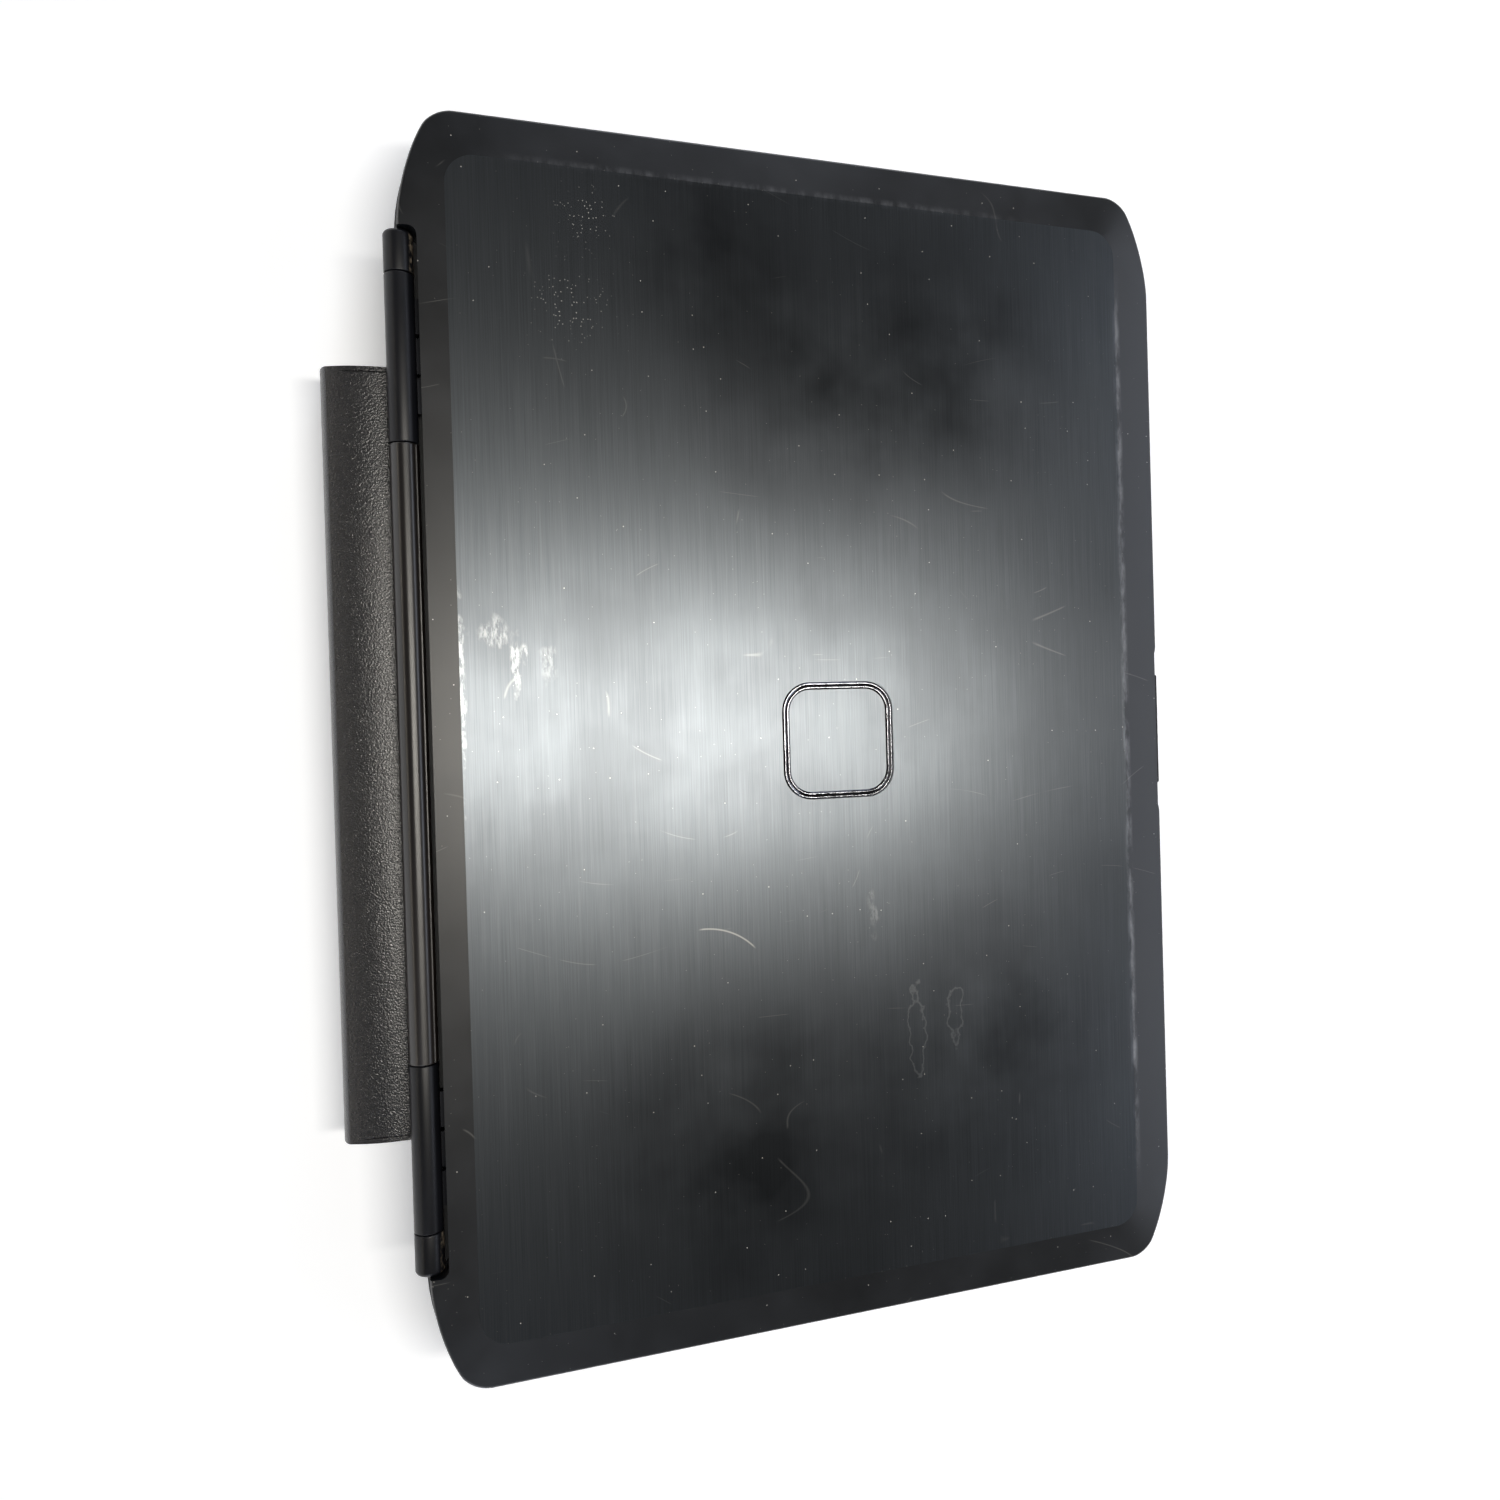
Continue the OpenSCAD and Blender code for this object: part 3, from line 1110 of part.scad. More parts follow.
fin_x = [-half_w + side_t + 0.8, -half_w + side_t + 12];
fin_y0 = vent_y0 - 0.8;
pipe_w = 6;
pipe_t = 2.4;
fin_n = 11;
fin_pitch = 3.3;
pipe_route = [
  [-76, 144], [fan_x - 1, 144], [fan_x - 9, 149], [fan_x - 12, 158], [fan_x - 14, 166],
  [fan_x - 29, 175], [fan_x - 29, fin_y0 + fin_n * fin_pitch]
];

function side_of(p, i) = let(d = p[min(i + 1, len(p) - 1)] - p[max(i - 1, 0)]) [-d.y, d.x] / norm(d);

// The outline of a flat band along a route.
function ribbon(p, w) = concat(
  [for (i = [0:len(p) - 1]) p[i] + w / 2 * side_of(p, i)],
  [for (i = [len(p) - 1:-1:0]) p[i] - w / 2 * side_of(p, i)]);

module heat_sink() {
  color([0.72, 0.45, 0.3]) placed() {
    block([-96, -56], [125.2, 164], [board_z0 - 2.6, board_z0 - 1.65]);
    translate([0, 0, board_z0 - 2.6 - pipe_t]) linear_extrude(pipe_t) polygon(ribbon(pipe_route, pipe_w));
    for (i = [0:fin_n]) block(fin_x, [fin_y0 + fin_pitch * i, fin_y0 + fin_pitch * i + 0.5],
      [floor_z + 0.6, board_z0 - 0.4]);
    block(fin_x, [fin_y0, fin_y0 + fin_n * fin_pitch + 0.5], [board_z0 - 0.9, board_z0 - 0.3]);
  }
}

module fan_housing() {
  outer = fan_r + 3.4;
  x0 = fin_x[1] + 0.4;
  color([0.15, 0.15, 0.16]) placed() {
    difference() {
      union() {
        drill(fan_x, fan_y, [fan_z0, fan_z0 + fan_h], outer);
        block([x0, fan_x], [fan_y - outer, fan_y + outer], [fan_z0, fan_z0 + fan_h]);
      }
      drill(fan_x, fan_y, [fan_z0 + 0.8, fan_z0 + fan_h - 0.8], fan_r + 1.4);
      block([x0 - 1, fan_x], [fan_y - fan_r - 1.4, fan_y + fan_r + 1.4],
        [fan_z0 + 0.8, fan_z0 + fan_h - 0.8]);
      drill(fan_x, fan_y, [fan_z0 - 1, fan_z0 + 2], fan_r - 3);
      drill(fan_x, fan_y, [fan_z0 + fan_h - 2, fan_z0 + fan_h + 1], fan_r - 4);
    }
    // Three spokes carry the motor's pin.
    for (a = [30, 150, 270]) translate([fan_x, fan_y, fan_z0]) rotate(a) translate([0, -1.2, 0])
      cube([fan_r + 0.5, 2.4, 0.8]);
    drill(fan_x, fan_y, [fan_z0, fan_z0 + 6.4], 1);
    drill(fan_x, fan_y, [fan_z0, fan_z0 + 1.4], 4);
  }
}

module fan_rotor() {
  z0 = fan_z0 + 1.8;
  hub_r = 8.5;
  blades = 22;
  color([0.2, 0.2, 0.22]) placed() difference() {
    union() {
      drill(fan_x, fan_y, [z0, z0 + 6.4], hub_r);
      for (i = [0:blades - 1]) translate([fan_x, fan_y, z0]) rotate(360 * i / blades)
        translate([hub_r - 0.4, 0, 0]) rotate(-24) cube([fan_r - hub_r - 0.4, 0.6, 5.6]);
    }
    drill(fan_x, fan_y, [z0 - 1, z0 + 5.2], 1.05);
  }
}

module speakers() {
  color([0.07, 0.07, 0.08]) placed() both_sides() {
    difference() {
      block(speaker_x, [side_t + 0.3, 10.6], [floor_z + 0.2, split_z - 3]);
      translate([(speaker_x[0] + speaker_x[1]) / 2, side_t, (floor_z + split_z) / 2 - 1.4])
        rotate([-90, 0, 0]) cylinder(h = 1.4, r = 3.4);
    }
  }
}

// A socket shell that hangs from the board, with its mouth towards -X.
module socket(y, w, h, l, wall = 0.4) {
  difference() {
    block([side_t + 0.1 - half_w, side_t + 0.1 - half_w + l], [y - w / 2, y + w / 2],
      [board_z0 - h, board_z0]);
    block([-half_w, side_t + 0.1 - half_w + l - 2], [y - w / 2 + wall, y + w / 2 - wall],
      [board_z0 - h + wall, board_z0 - wall]);
  }
}

module usb_shell(y) {
  w = usb_w + 0.4;
  socket(y, w, usb_h + 0.4, 14);
  block([side_t + 2 - half_w, side_t + 14 - half_w], [y - w / 2 + 1.2, y + w / 2 - 1.2],
    [board_z0 - 2.6, board_z0 - 0.8]);
}

module usb_sockets() {
  color([0.7, 0.7, 0.72]) placed() {
    for (y = usb_left) usb_shell(y);
    mirror([1, 0, 0]) usb_shell(usb_right);
  }
}

module video_socket() {
  z = board_z0 - 4.5;
  d_form = concat(arc([7, 2.6], 1, 0, 90, 3), arc([-7, 2.6], 1, 90, 180, 3),
    arc([-6, -2.6], 1, 180, 270, 3), arc([6, -2.6], 1, 270, 360, 3));
  color([0.15, 0.25, 0.55]) placed() {
    block([side_t + 0.3 - half_w, side_t + 12 - half_w], [video_y - 15, video_y + 15],
      [board_z0 - 9, board_z0]);
    difference() {
      translate([side_t + 0.4 - half_w, video_y, z]) rotate([90, 0, -90])
        linear_extrude(side_t - 0.4) polygon(d_form);
      for (r = [0:2], i = [0:4]) translate([-half_w - 1, video_y - 4.6 + 2.3 * i - (r == 1 ? 0.6 : 0), z - 2 + 2 * r])
        rotate([0, 90, 0]) cylinder(h = 3, r = 0.45, $fn = 16);
    }
    for (s = [-1, 1]) translate([0.5 - half_w, video_y + s * 12.5, z]) rotate([0, 90, 0])
      difference() {
        cylinder(h = side_t, r = 2.4, $fn = 6);
        translate([0, 0, -1]) cylinder(h = side_t, r = 1.1, $fn = 24);
      }
  }
}

module network_socket() {
  w = net_w + 2.4;
  h = net_h + 1.6;
  color([0.55, 0.56, 0.58]) placed() mirror([1, 0, 0]) difference() {
    block([side_t + 0.1 - half_w, side_t + 15 - half_w], [net_y - w / 2, net_y + w / 2],
      [board_z0 - h, board_z0]);
    block([-half_w, side_t + 12 - half_w], [net_y - net_w / 2 + 0.6, net_y + net_w / 2 - 0.6],
      [board_z0 - net_h - 0.4, board_z0 - 1]);
  }
}

module sound_sockets() {
  color([0.12, 0.12, 0.13]) placed() for (y = sound_y) difference() {
    union() {
      block([half_w - side_t - 13, half_w - side_t - 0.1], [y - 4, y + 4], [board_z0 - 6, board_z0]);
      bar_x([half_w - side_t - 0.2, half_w - 0.3], y, sound_z, 3.4);
    }
    bar_x([half_w - side_t - 11, half_w + 1], y, sound_z, sound_r);
  }
}

module power_inlet() {
  color([0.1, 0.1, 0.1]) placed() {
    difference() {
      union() {
        block([half_w - side_t - 12, half_w - side_t - 0.1], [inlet_y - 4.8, inlet_y + 4.8],
          [board_z0 - 9.6, board_z0]);
        bar_x([half_w - side_t - 0.2, half_w - 0.3], inlet_y, inlet_z, inlet_r + 0.9);
      }
      bar_x([half_w - side_t - 10, half_w + 1], inlet_y, inlet_z, inlet_r);
    }
    bar_x([half_w - side_t - 11, half_w - 2], inlet_y, inlet_z, 0.5);
  }
}

module card_cage() {
  wall = 0.5;
  x0 = side_t + 0.1 - half_w;
  color([0.66, 0.67, 0.69]) placed() {
    difference() {
      block([x0, x0 + card_l], [card_y0 - wall, card_y0 + card_w + wall],
        [card_z0 - wall, card_z0 + card_h + wall]);
      block([x0 - 1, x0 + card_l - 4], [card_y0, card_y0 + card_w], [card_z0, card_z0 + card_h]);
    }
    // Two feet hold the cage over the floor.
    for (y = [card_y0 + 6, card_y0 + card_w - 12])
      block([x0 + 20, x0 + 50], [y, y + 6], [floor_z + 0.05, card_z0 - wall]);
  }
}

module dock_connector() {
  color([0.08, 0.08, 0.09]) placed() difference() {
    block([dock_x[0] + 0.3, dock_x[1] - 0.3], [dock_y[0] + 0.3, dock_y[1] - 0.3],
      [base_z0 + 0.8, board_z0]);
    block([dock_x[0] + 2, dock_x[1] - 2], [dock_y[0] + 2, dock_y[1] - 2], [base_z0, base_z0 + 4]);
  }
}

// ---------- assembly ----------

lid_cover();
lid_skin();
lid_mark();
lid_bezel();
bezel_bumpers();
display_panel();
camera_module();
display_cable();
hinge_arms();
hinge_sleeves();
latch_button();
latch_slider();
latch_springs();
bottom_case();
top_cover();
service_door();
rubber_feet();
case_screws();
hinge_shafts();
hinge_caps();
hinge_cover();
keyboard_frame();
keyboard_plate();
keys_function();
keys_number();
keys_upper();
keys_home();
keys_lower();
keys_bottom();
space_bar();
pointing_stick();
touchpad();
pad_button_left();
pad_button_right();
stick_button_left();
stick_button_right();
power_button();
wireless_button();
battery_pack();
battery_latch_left();
battery_latch_right();
hard_drive();
disc_drive();
disc_tray();
eject_button();
disc_spindle();
main_board();
memory_modules();
wireless_card();
heat_sink();
fan_housing();
fan_rotor();
speakers();
usb_sockets();
video_socket();
network_socket();
sound_sockets();
power_inlet();
card_cage();
dock_connector();
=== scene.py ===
# %% [markdown]
# # A closed laptop with a barrel hinge
# The laptop lies flat with its lid shut, and the hinge barrel and the extended battery stand
# out behind it. The CAD model is loaded first as a fixed frame, because it gives every piece
# its size and place. The pieces that carry the look are then modelled over it, and the rest
# keep the CAD shape and get a finish of their own.

# %% Load the CAD frame
import math

import bmesh
import bpy
from mathutils import Matrix, Vector


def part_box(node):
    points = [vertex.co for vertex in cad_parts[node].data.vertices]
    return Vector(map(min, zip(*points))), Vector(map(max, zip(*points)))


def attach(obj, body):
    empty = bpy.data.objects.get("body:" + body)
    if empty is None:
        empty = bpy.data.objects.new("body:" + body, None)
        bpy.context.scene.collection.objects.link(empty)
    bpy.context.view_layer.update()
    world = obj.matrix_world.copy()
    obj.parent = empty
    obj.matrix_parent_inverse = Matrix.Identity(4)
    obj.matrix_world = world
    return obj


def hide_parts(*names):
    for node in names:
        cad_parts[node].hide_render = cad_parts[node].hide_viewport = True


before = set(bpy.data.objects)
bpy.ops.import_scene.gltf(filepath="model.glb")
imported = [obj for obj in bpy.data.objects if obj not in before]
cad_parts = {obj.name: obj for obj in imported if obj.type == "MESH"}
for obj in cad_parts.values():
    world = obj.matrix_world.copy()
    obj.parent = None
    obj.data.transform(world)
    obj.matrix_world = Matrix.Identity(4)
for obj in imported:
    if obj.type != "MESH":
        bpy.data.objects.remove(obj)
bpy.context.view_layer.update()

mm = 0.001

# %% [markdown]
# ## Camera
# The laptop is seen from above and from a little behind the middle of its lid, close enough
# for strong perspective, so the lens is wide and near. A matrix is built from the line of
# sight and an up direction, which is easier to check than three angles.

# %% Camera
eye = Vector((0.00687, 0.09481, 0.33508))
sight = Vector((-0.0095, -0.3044, -0.9525)).normalized()
picture_up = Vector((0.9995, -0.0301, -0.0003))
picture_right = sight.cross(picture_up).normalized()
picture_up = picture_right.cross(sight).normalized()

camera_data = bpy.data.cameras.new("camera")
camera_data.sensor_width = 36
camera_data.lens = 26.48
camera_data.shift_x = -0.0335
camera_data.shift_y = -0.0147
camera_data.clip_start = 0.01
camera = bpy.data.objects.new("camera", camera_data)
bpy.context.scene.collection.objects.link(camera)
turn = Matrix((picture_right, picture_up, -sight)).transposed()
camera.matrix_world = Matrix.Translation(eye) @ turn.to_4x4()
bpy.context.scene.camera = camera
print("camera height over the table in mm:", round(eye.z / mm))

# %% [markdown]
# ## Colours and nodes
# Colours are written as the hex values a painter would read off a screen, and one function
# turns them to the linear numbers that Blender mixes light with. One more function adds any
# shader node. A list of inputs fills the node's sockets in their order, and a dictionary names
# them or gives their numbers. An input is a value, a hex colour, a socket or another node,
# and of another node the first socket that is in use is taken.

# %% Colour and node helpers
def paint(code):
    """A hex colour such as #1a1b1e as linear red, green, blue and alpha."""
    parts = [int(code[i:i + 2], 16) / 255 for i in (1, 3, 5)]
    return (*[c / 12.92 if c <= 0.04045 else ((c + 0.055) / 1.055) ** 2.4 for c in parts], 1)


def add_node(tree, kind, inputs=(), **settings):
    """Adds a shader node with its settings and inputs, and gives the node back."""
    made = tree.nodes.new("ShaderNode" + kind)
    for name, value in settings.items():
        setattr(made, name, value)
    pairs = inputs.items() if isinstance(inputs, dict) else enumerate(inputs)
    for name, value in pairs:
        if isinstance(value, str):
            value = paint(value)
        if isinstance(value, bpy.types.Node):
            value = next(socket for socket in value.outputs if socket.enabled)
        if isinstance(value, bpy.types.NodeSocket):
            tree.links.new(value, made.inputs[name])
        else:
            made.inputs[name].default_value = value
    return made


def new_finish(name):
    """An empty material, its node tree and the coordinates of the object that wears it."""
    finish = bpy.data.materials.new(name)
    finish.use_nodes = True
    tree = finish.node_tree
    tree.nodes.clear()
    return finish, tree, add_node(tree, "TexCoord").outputs["Object"]


print("mid grey #808080 is linear", round(paint("#808080")[0], 3))

# %% [markdown]
# ## Dust
# A lid that has been used collects pale dust. It could be thousands of small meshes, but dots
# in the colour cost nothing and lie flat as real dust does. A Voronoi pattern gives one random
# point to each cell, and a dot is drawn round the point in a share of the cells. Real grains
# are about 0.05 mm across, which is too fine to show, so the dots are 0.2 to 0.4 mm.

# %% One speck and one spot
skin_low, skin_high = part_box("lid_skin")
lid_top = skin_high.z


def specks(tree, place, cell, radius, share):
    """Round dots of one radius, one in each chosen cell; share of the cells that have one."""
    flat = add_node(tree, "VectorMath", (place, (1, 1, 0)), operation="MULTIPLY")
    cells = add_node(tree, "TexVoronoi", {"Vector": flat, "Scale": 1 / cell},
                     voronoi_dimensions="2D")
    dot = add_node(tree, "MapRange", (cells, radius / cell * 0.6, radius / cell, 1, 0))
    lot = add_node(tree, "SeparateColor", (cells.outputs["Color"],))
    chosen = add_node(tree, "Math", (lot, share), operation="LESS_THAN")
    return add_node(tree, "Math", (dot, chosen), operation="MULTIPLY")


def near_spot(tree, place, at, reach):
    """1 at a point of the lid and 0 from the reach on; both are given in millimetres."""
    centre = (at[0] * mm, at[1] * mm, lid_top)
    away = add_node(tree, "VectorMath", (place, centre), operation="DISTANCE")
    return add_node(tree, "MapRange", (away, 0, reach * mm, 1, 0))


print("lid top in mm:", round(lid_top / mm, 2))

# %% Dust everywhere and in three crowds
dust_crowds = (((145, 55), 13), ((-134, 109), 14), ((120, 60), 16))  # place and reach in mm


def settled_dust(tree, place):
    """Single specks everywhere, finer ones between them and a crowd of them in three places."""
    coarse = specks(tree, place, 8.5 * mm, 0.18 * mm, 0.16)
    fine = specks(tree, place, 3.5 * mm, 0.1 * mm, 0.13)
    fine = add_node(tree, "Math", (fine, 0.55), operation="MULTIPLY")
    dust = add_node(tree, "Math", (coarse, fine), operation="MAXIMUM")
    crowd = specks(tree, place, 1.1 * mm, 0.2 * mm, 0.5)
    clumps = add_node(tree, "TexNoise", {"Vector": place, "Scale": 1 / (2 * mm), "Detail": 0})
    for at, reach in dust_crowds:
        spot = near_spot(tree, place, at, reach)
        spot = add_node(tree, "Math", (spot, 0.9), operation="MULTIPLY")
        eased = add_node(tree, "Math", (spot, 0.4), operation="MULTIPLY")
        limit = add_node(tree, "Math", (0.72, eased), operation="SUBTRACT")
        clump = add_node(tree, "Math", (clumps, limit), operation="GREATER_THAN")
        clump = add_node(tree, "Math", (clump, crowd), operation="MULTIPLY")
        clump = add_node(tree, "Math", (clump, spot), operation="MULTIPLY")
        dust = add_node(tree, "Math", (dust, clump), operation="MAXIMUM")
    return dust


print("crowds of dust:", len(dust_crowds))

# %% [markdown]
# ## Scratches
# A bag leaves thin curved scratches. They could be curves laid on the lid, but a scratch has
# no height to speak of. The level lines of a slow noise wander in the same way, so they are
# drawn a few tenths of a millimetre wide, and kept only where a second noise is high. One bold
# scratch is part of a ring of 20 mm radius.

# %% Scratches
def scuffs(tree, place, size, width, seed, share):
    """Level lines of a noise of that size; width is in steps of the noise, not a length."""
    moved = add_node(tree, "VectorMath", (place, (seed, seed * 0.7, 0)), operation="ADD")
    drawn = add_node(tree, "Mapping", {"Vector": moved, "Scale": (1, 1 / 2.5, 1)})
    slow = add_node(tree, "TexNoise", {"Vector": drawn, "Scale": 1 / size, "Detail": 0})
    level = add_node(tree, "Math", (slow, 0.5), operation="SUBTRACT")
    level = add_node(tree, "Math", (level,), operation="ABSOLUTE")
    line = add_node(tree, "MapRange", (level, 0, width, 1, 0))
    patch = add_node(tree, "TexNoise", {
        "Vector": moved, "Scale": 1 / (size * 0.35), "Detail": 0})
    patch = add_node(tree, "MapRange", (patch, 1 - share, 1.06 - share, 0, 1))
    return add_node(tree, "Math", (line, patch), operation="MULTIPLY")


def arc_scratch(tree, place):
    """One scratch 0.2 to 0.6 mm wide that follows part of a ring."""
    ring_centre = (-71.8 * mm, 28 * mm, lid_top)
    ring_radius = 20 * mm
    away = add_node(tree, "VectorMath", (place, ring_centre), operation="DISTANCE")
    away = add_node(tree, "Math", (away, ring_radius), operation="SUBTRACT")
    away = add_node(tree, "Math", (away,), operation="ABSOLUTE")
    line = add_node(tree, "MapRange", (away, 0.1 * mm, 0.3 * mm, 1, 0))
    part = near_spot(tree, place, (-54.5, 21), 9)
    part = add_node(tree, "MapRange", (part, 0, 0.15, 0, 1))
    return add_node(tree, "Math", (line, part), operation="MULTIPLY")


def bag_scratches(tree, place):
    long_ones = scuffs(tree, place, 50 * mm, 0.0016, 0.31, 0.4)
    short_ones = scuffs(tree, place, 30 * mm, 0.0024, 1.7, 0.38)
    marks = add_node(tree, "Math", (long_ones, short_ones), operation="MAXIMUM")
    arc = add_node(tree, "Math", (arc_scratch(tree, place), 3), operation="MULTIPLY")
    return add_node(tree, "Math", (marks, arc), operation="MAXIMUM")


print("layers of scratches: long, short and one arc")

# %% [markdown]
# ## Pale creases
# A pale line is drawn where the lid's flat top meets its sloping border, at the front and at
# the right. Each is straight and soft, fades towards the corners and is broken by noise that is
# drawn out along X. Dust, scratches and pale creases are all held to the lid's top side, since a
# pattern that is laid out from above would run down the upright sides as stripes.

# %% Pale creases and all marks of the lid together
crease_lines = (  # axis, place, other axis, half length, strength; the lengths in mm
    ("Y", -111.1, "X", 148, 0.5),
    ("X", 157.9, "Y", 85, 0.16))


def pale_creases(tree, place, tone, top_side):
    """Pale lines of 0.4 to 3.2 mm width along the front and right crease."""
    axes = add_node(tree, "SeparateXYZ", (place,)).outputs
    drawn = add_node(tree, "Mapping", {"Vector": place, "Scale": (1 / 3, 1, 1)})
    broken = add_node(tree, "TexNoise", {
        "Vector": drawn, "Scale": 1 / (4 * mm), "Detail": 4, "Roughness": 0.7})
    broken = add_node(tree, "MapRange", (broken, 0.42, 0.7, 0, 1))
    # A soft pale line is drawn along each crease and faded towards its ends.
    for axis, crease, other, half, strength in crease_lines:
        off = add_node(tree, "Math", (axes[axis], crease * mm), operation="SUBTRACT")
        off = add_node(tree, "Math", (off,), operation="ABSOLUTE")
        line = add_node(tree, "MapRange", (off, 0.2 * mm, 1.6 * mm, strength, 0))
        along = add_node(tree, "Math", (axes[other],), operation="ABSOLUTE")
        ends = add_node(tree, "MapRange", (along, (half - 30) * mm, half * mm, 1, 0))
        for limit in (broken, ends, top_side):
            line = add_node(tree, "Math", (line, limit), operation="MULTIPLY")
        tone = add_node(tree, "Mix", {0: line, 6: tone, 7: "#a3a6ae"}, data_type="RGBA")
    return tone


def wear_of_lid(tree, place, tone):
    """Lays scratches, creases and dust over a tone; gives the tone and where the dust is."""
    axes = add_node(tree, "SeparateXYZ", (place,)).outputs
    top_side = add_node(tree, "MapRange", (
        axes["Z"], lid_top - 2 * mm, lid_top - 1.5 * mm, 0, 1))
    marks = bag_scratches(tree, place)
    marks = add_node(tree, "Math", (marks, top_side), operation="MULTIPLY")
    marks = add_node(tree, "Math", (marks, 0.14), operation="MULTIPLY")
    tone = add_node(tree, "Mix", {0: marks, 6: tone, 7: "#b9b8b4"}, data_type="RGBA")
    tone = pale_creases(tree, place, tone, top_side)
    dust = settled_dust(tree, place)
    dust = add_node(tree, "Math", (dust, top_side), operation="MULTIPLY")
    pale = add_node(tree, "Math", (dust, 0.65), operation="MULTIPLY")
    tone = add_node(tree, "Mix", {0: pale, 6: tone, 7: "#d8d6d0"}, data_type="RGBA")
    return tone, dust


print("creases with worn lines:", len(crease_lines))

# %% [markdown]
# ## Stains, broad darkening and painted highlights
# Hands leave greasy dark patches, spilled drops dry to chalky marks, and broad faint fades
# darken the plate towards both ends and the front. Pale patches at the plate's back edge, in
# the lamp's streak, are painted highlights. Greasy patches and pale marks are round fades whose
# edge is pushed in and out by noise, because a clean ellipse would look printed. A pale mark is
# either a broken patch, with flakes of 0.9 mm, or only the rim that a drop leaves.

# %% Greasy stains and broad darkening
greasy_spots = (  # place and reach in mm
    ((-116, 13), 60), ((111, -53), 46), ((104, -12), 48), ((140, 23), 34), ((-95, -60), 50))
# Broad faint fades that darken the plate towards both ends and the front edge; reach in mm.
broad_dark_spots = (
    ((125, -10), 100), ((-122, -8), 95), ((45, -105), 75), ((-45, -105), 75))


def stains_and_darkening(tree, place, tone):
    """Dark greasy patches with uneven edges, and broad faint darkening towards both ends and the
    front.
    """
    uneven = add_node(tree, "TexNoise", {
        "Vector": place, "Scale": 1 / (32 * mm), "Detail": 3})
    uneven = add_node(tree, "MapRange", (uneven, 0.3, 0.68, 0, 1))
    for at, reach in greasy_spots:
        greasy = near_spot(tree, place, at, reach)
        greasy = add_node(tree, "Math", (greasy, uneven), operation="MULTIPLY")
        greasy = add_node(tree, "MapRange", (greasy, 0, 0.7, 0, 0.62))
        tone = add_node(tree, "Mix", {0: greasy, 6: tone, 7: "#17181a"}, data_type="RGBA")
    # Broad faint darkening towards both ends and the front edge.
    for at, reach in broad_dark_spots:
        broad_dark = near_spot(tree, place, at, reach)
        broad_dark = add_node(tree, "Math", (broad_dark, 0.4), operation="MULTIPLY")
        tone = add_node(tree, "Mix", {0: broad_dark, 6: tone, 7: "#1b1c1e"}, data_type="RGBA")
    return tone


print("greasy spots:", len(greasy_spots), "and handled spots:", len(broad_dark_spots))

# %% Dried drops and painted highlights
# The first five, at the plate's back edge in the lamp's streak, are painted highlights; the last
# three are dried drops.
drops_and_painted_highlights = (  # place and half size in mm, whether it is a whole patch, strength
    ((32, 82), (4, 6), True, 0.2), ((22.5, 77), (7, 1.4), True, 0.32),
    ((26, 74.5), (3.5, 1.2), True, 0.25), ((23.5, 68.5), (6, 2.5), True, 0.1),
    ((14, 91), (26, 1.1), True, 0.35), ((-52, -23), (7, 2), True, 0.13),
    ((-87, -36), (13, 2.6), False, 0.12), ((-84, -48.5), (10, 2.6), False, 0.12))


def pale_mark(tree, place, at, half_size, whole):
    """An uneven ellipse on the lid, sizes in millimetres: a broken pale patch, or only its rim.
    """
    centre = (at[0] * mm, at[1] * mm, lid_top)
    moved = add_node(tree, "VectorMath", (place, centre), operation="SUBTRACT")
    half_axes = (half_size[0] * mm, half_size[1] * mm, 1)
    moved = add_node(tree, "VectorMath", (moved, half_axes), operation="DIVIDE")
    away = add_node(tree, "VectorMath", (moved,), operation="LENGTH")
    wander = add_node(tree, "TexNoise", {
        "Vector": place, "Scale": 1 / (5 * mm), "Detail": 3})
    wander = add_node(tree, "MapRange", (wander, 0.3, 0.7, -0.45, 0.45))
    away = add_node(tree, "Math", (away, wander), operation="ADD")
    if not whole:
        off = add_node(tree, "Math", (away, 0.85), operation="SUBTRACT")
        off = add_node(tree, "Math", (off,), operation="ABSOLUTE")
        return add_node(tree, "MapRange", (off, 0, 0.14, 1, 0))
    patch = add_node(tree, "MapRange", (away, 0.4, 1, 1, 0))
    drawn = add_node(tree, "Mapping", {"Vector": place, "Scale": (1 / 3, 1, 1)})
    flakes = add_node(tree, "TexNoise", {
        "Vector": drawn, "Scale": 1 / (0.9 * mm), "Detail": 3, "Roughness": 0.7})
    flakes = add_node(tree, "MapRange", (flakes, 0.42, 0.6, 0, 1))
    return add_node(tree, "Math", (patch, flakes), operation="MULTIPLY")


print("dried marks:", len(drops_and_painted_highlights))

# %% [markdown]
# ## Brushed anodised aluminium
# The lid's big plate is aluminium that was brushed from side to side and anodised dark. The
# fine scratches run along X, so light is spread across them, along Y, and a lamp shows as one
# long streak. Anisotropy gives that streak, and noise stretched far along X gives the lines.
# Real brush lines are under 0.1 mm wide, so they are drawn at 0.3 mm to show at all. Bands of
# about 3 mm and smears of 35 mm keep the field from looking even, and dust is not metal.

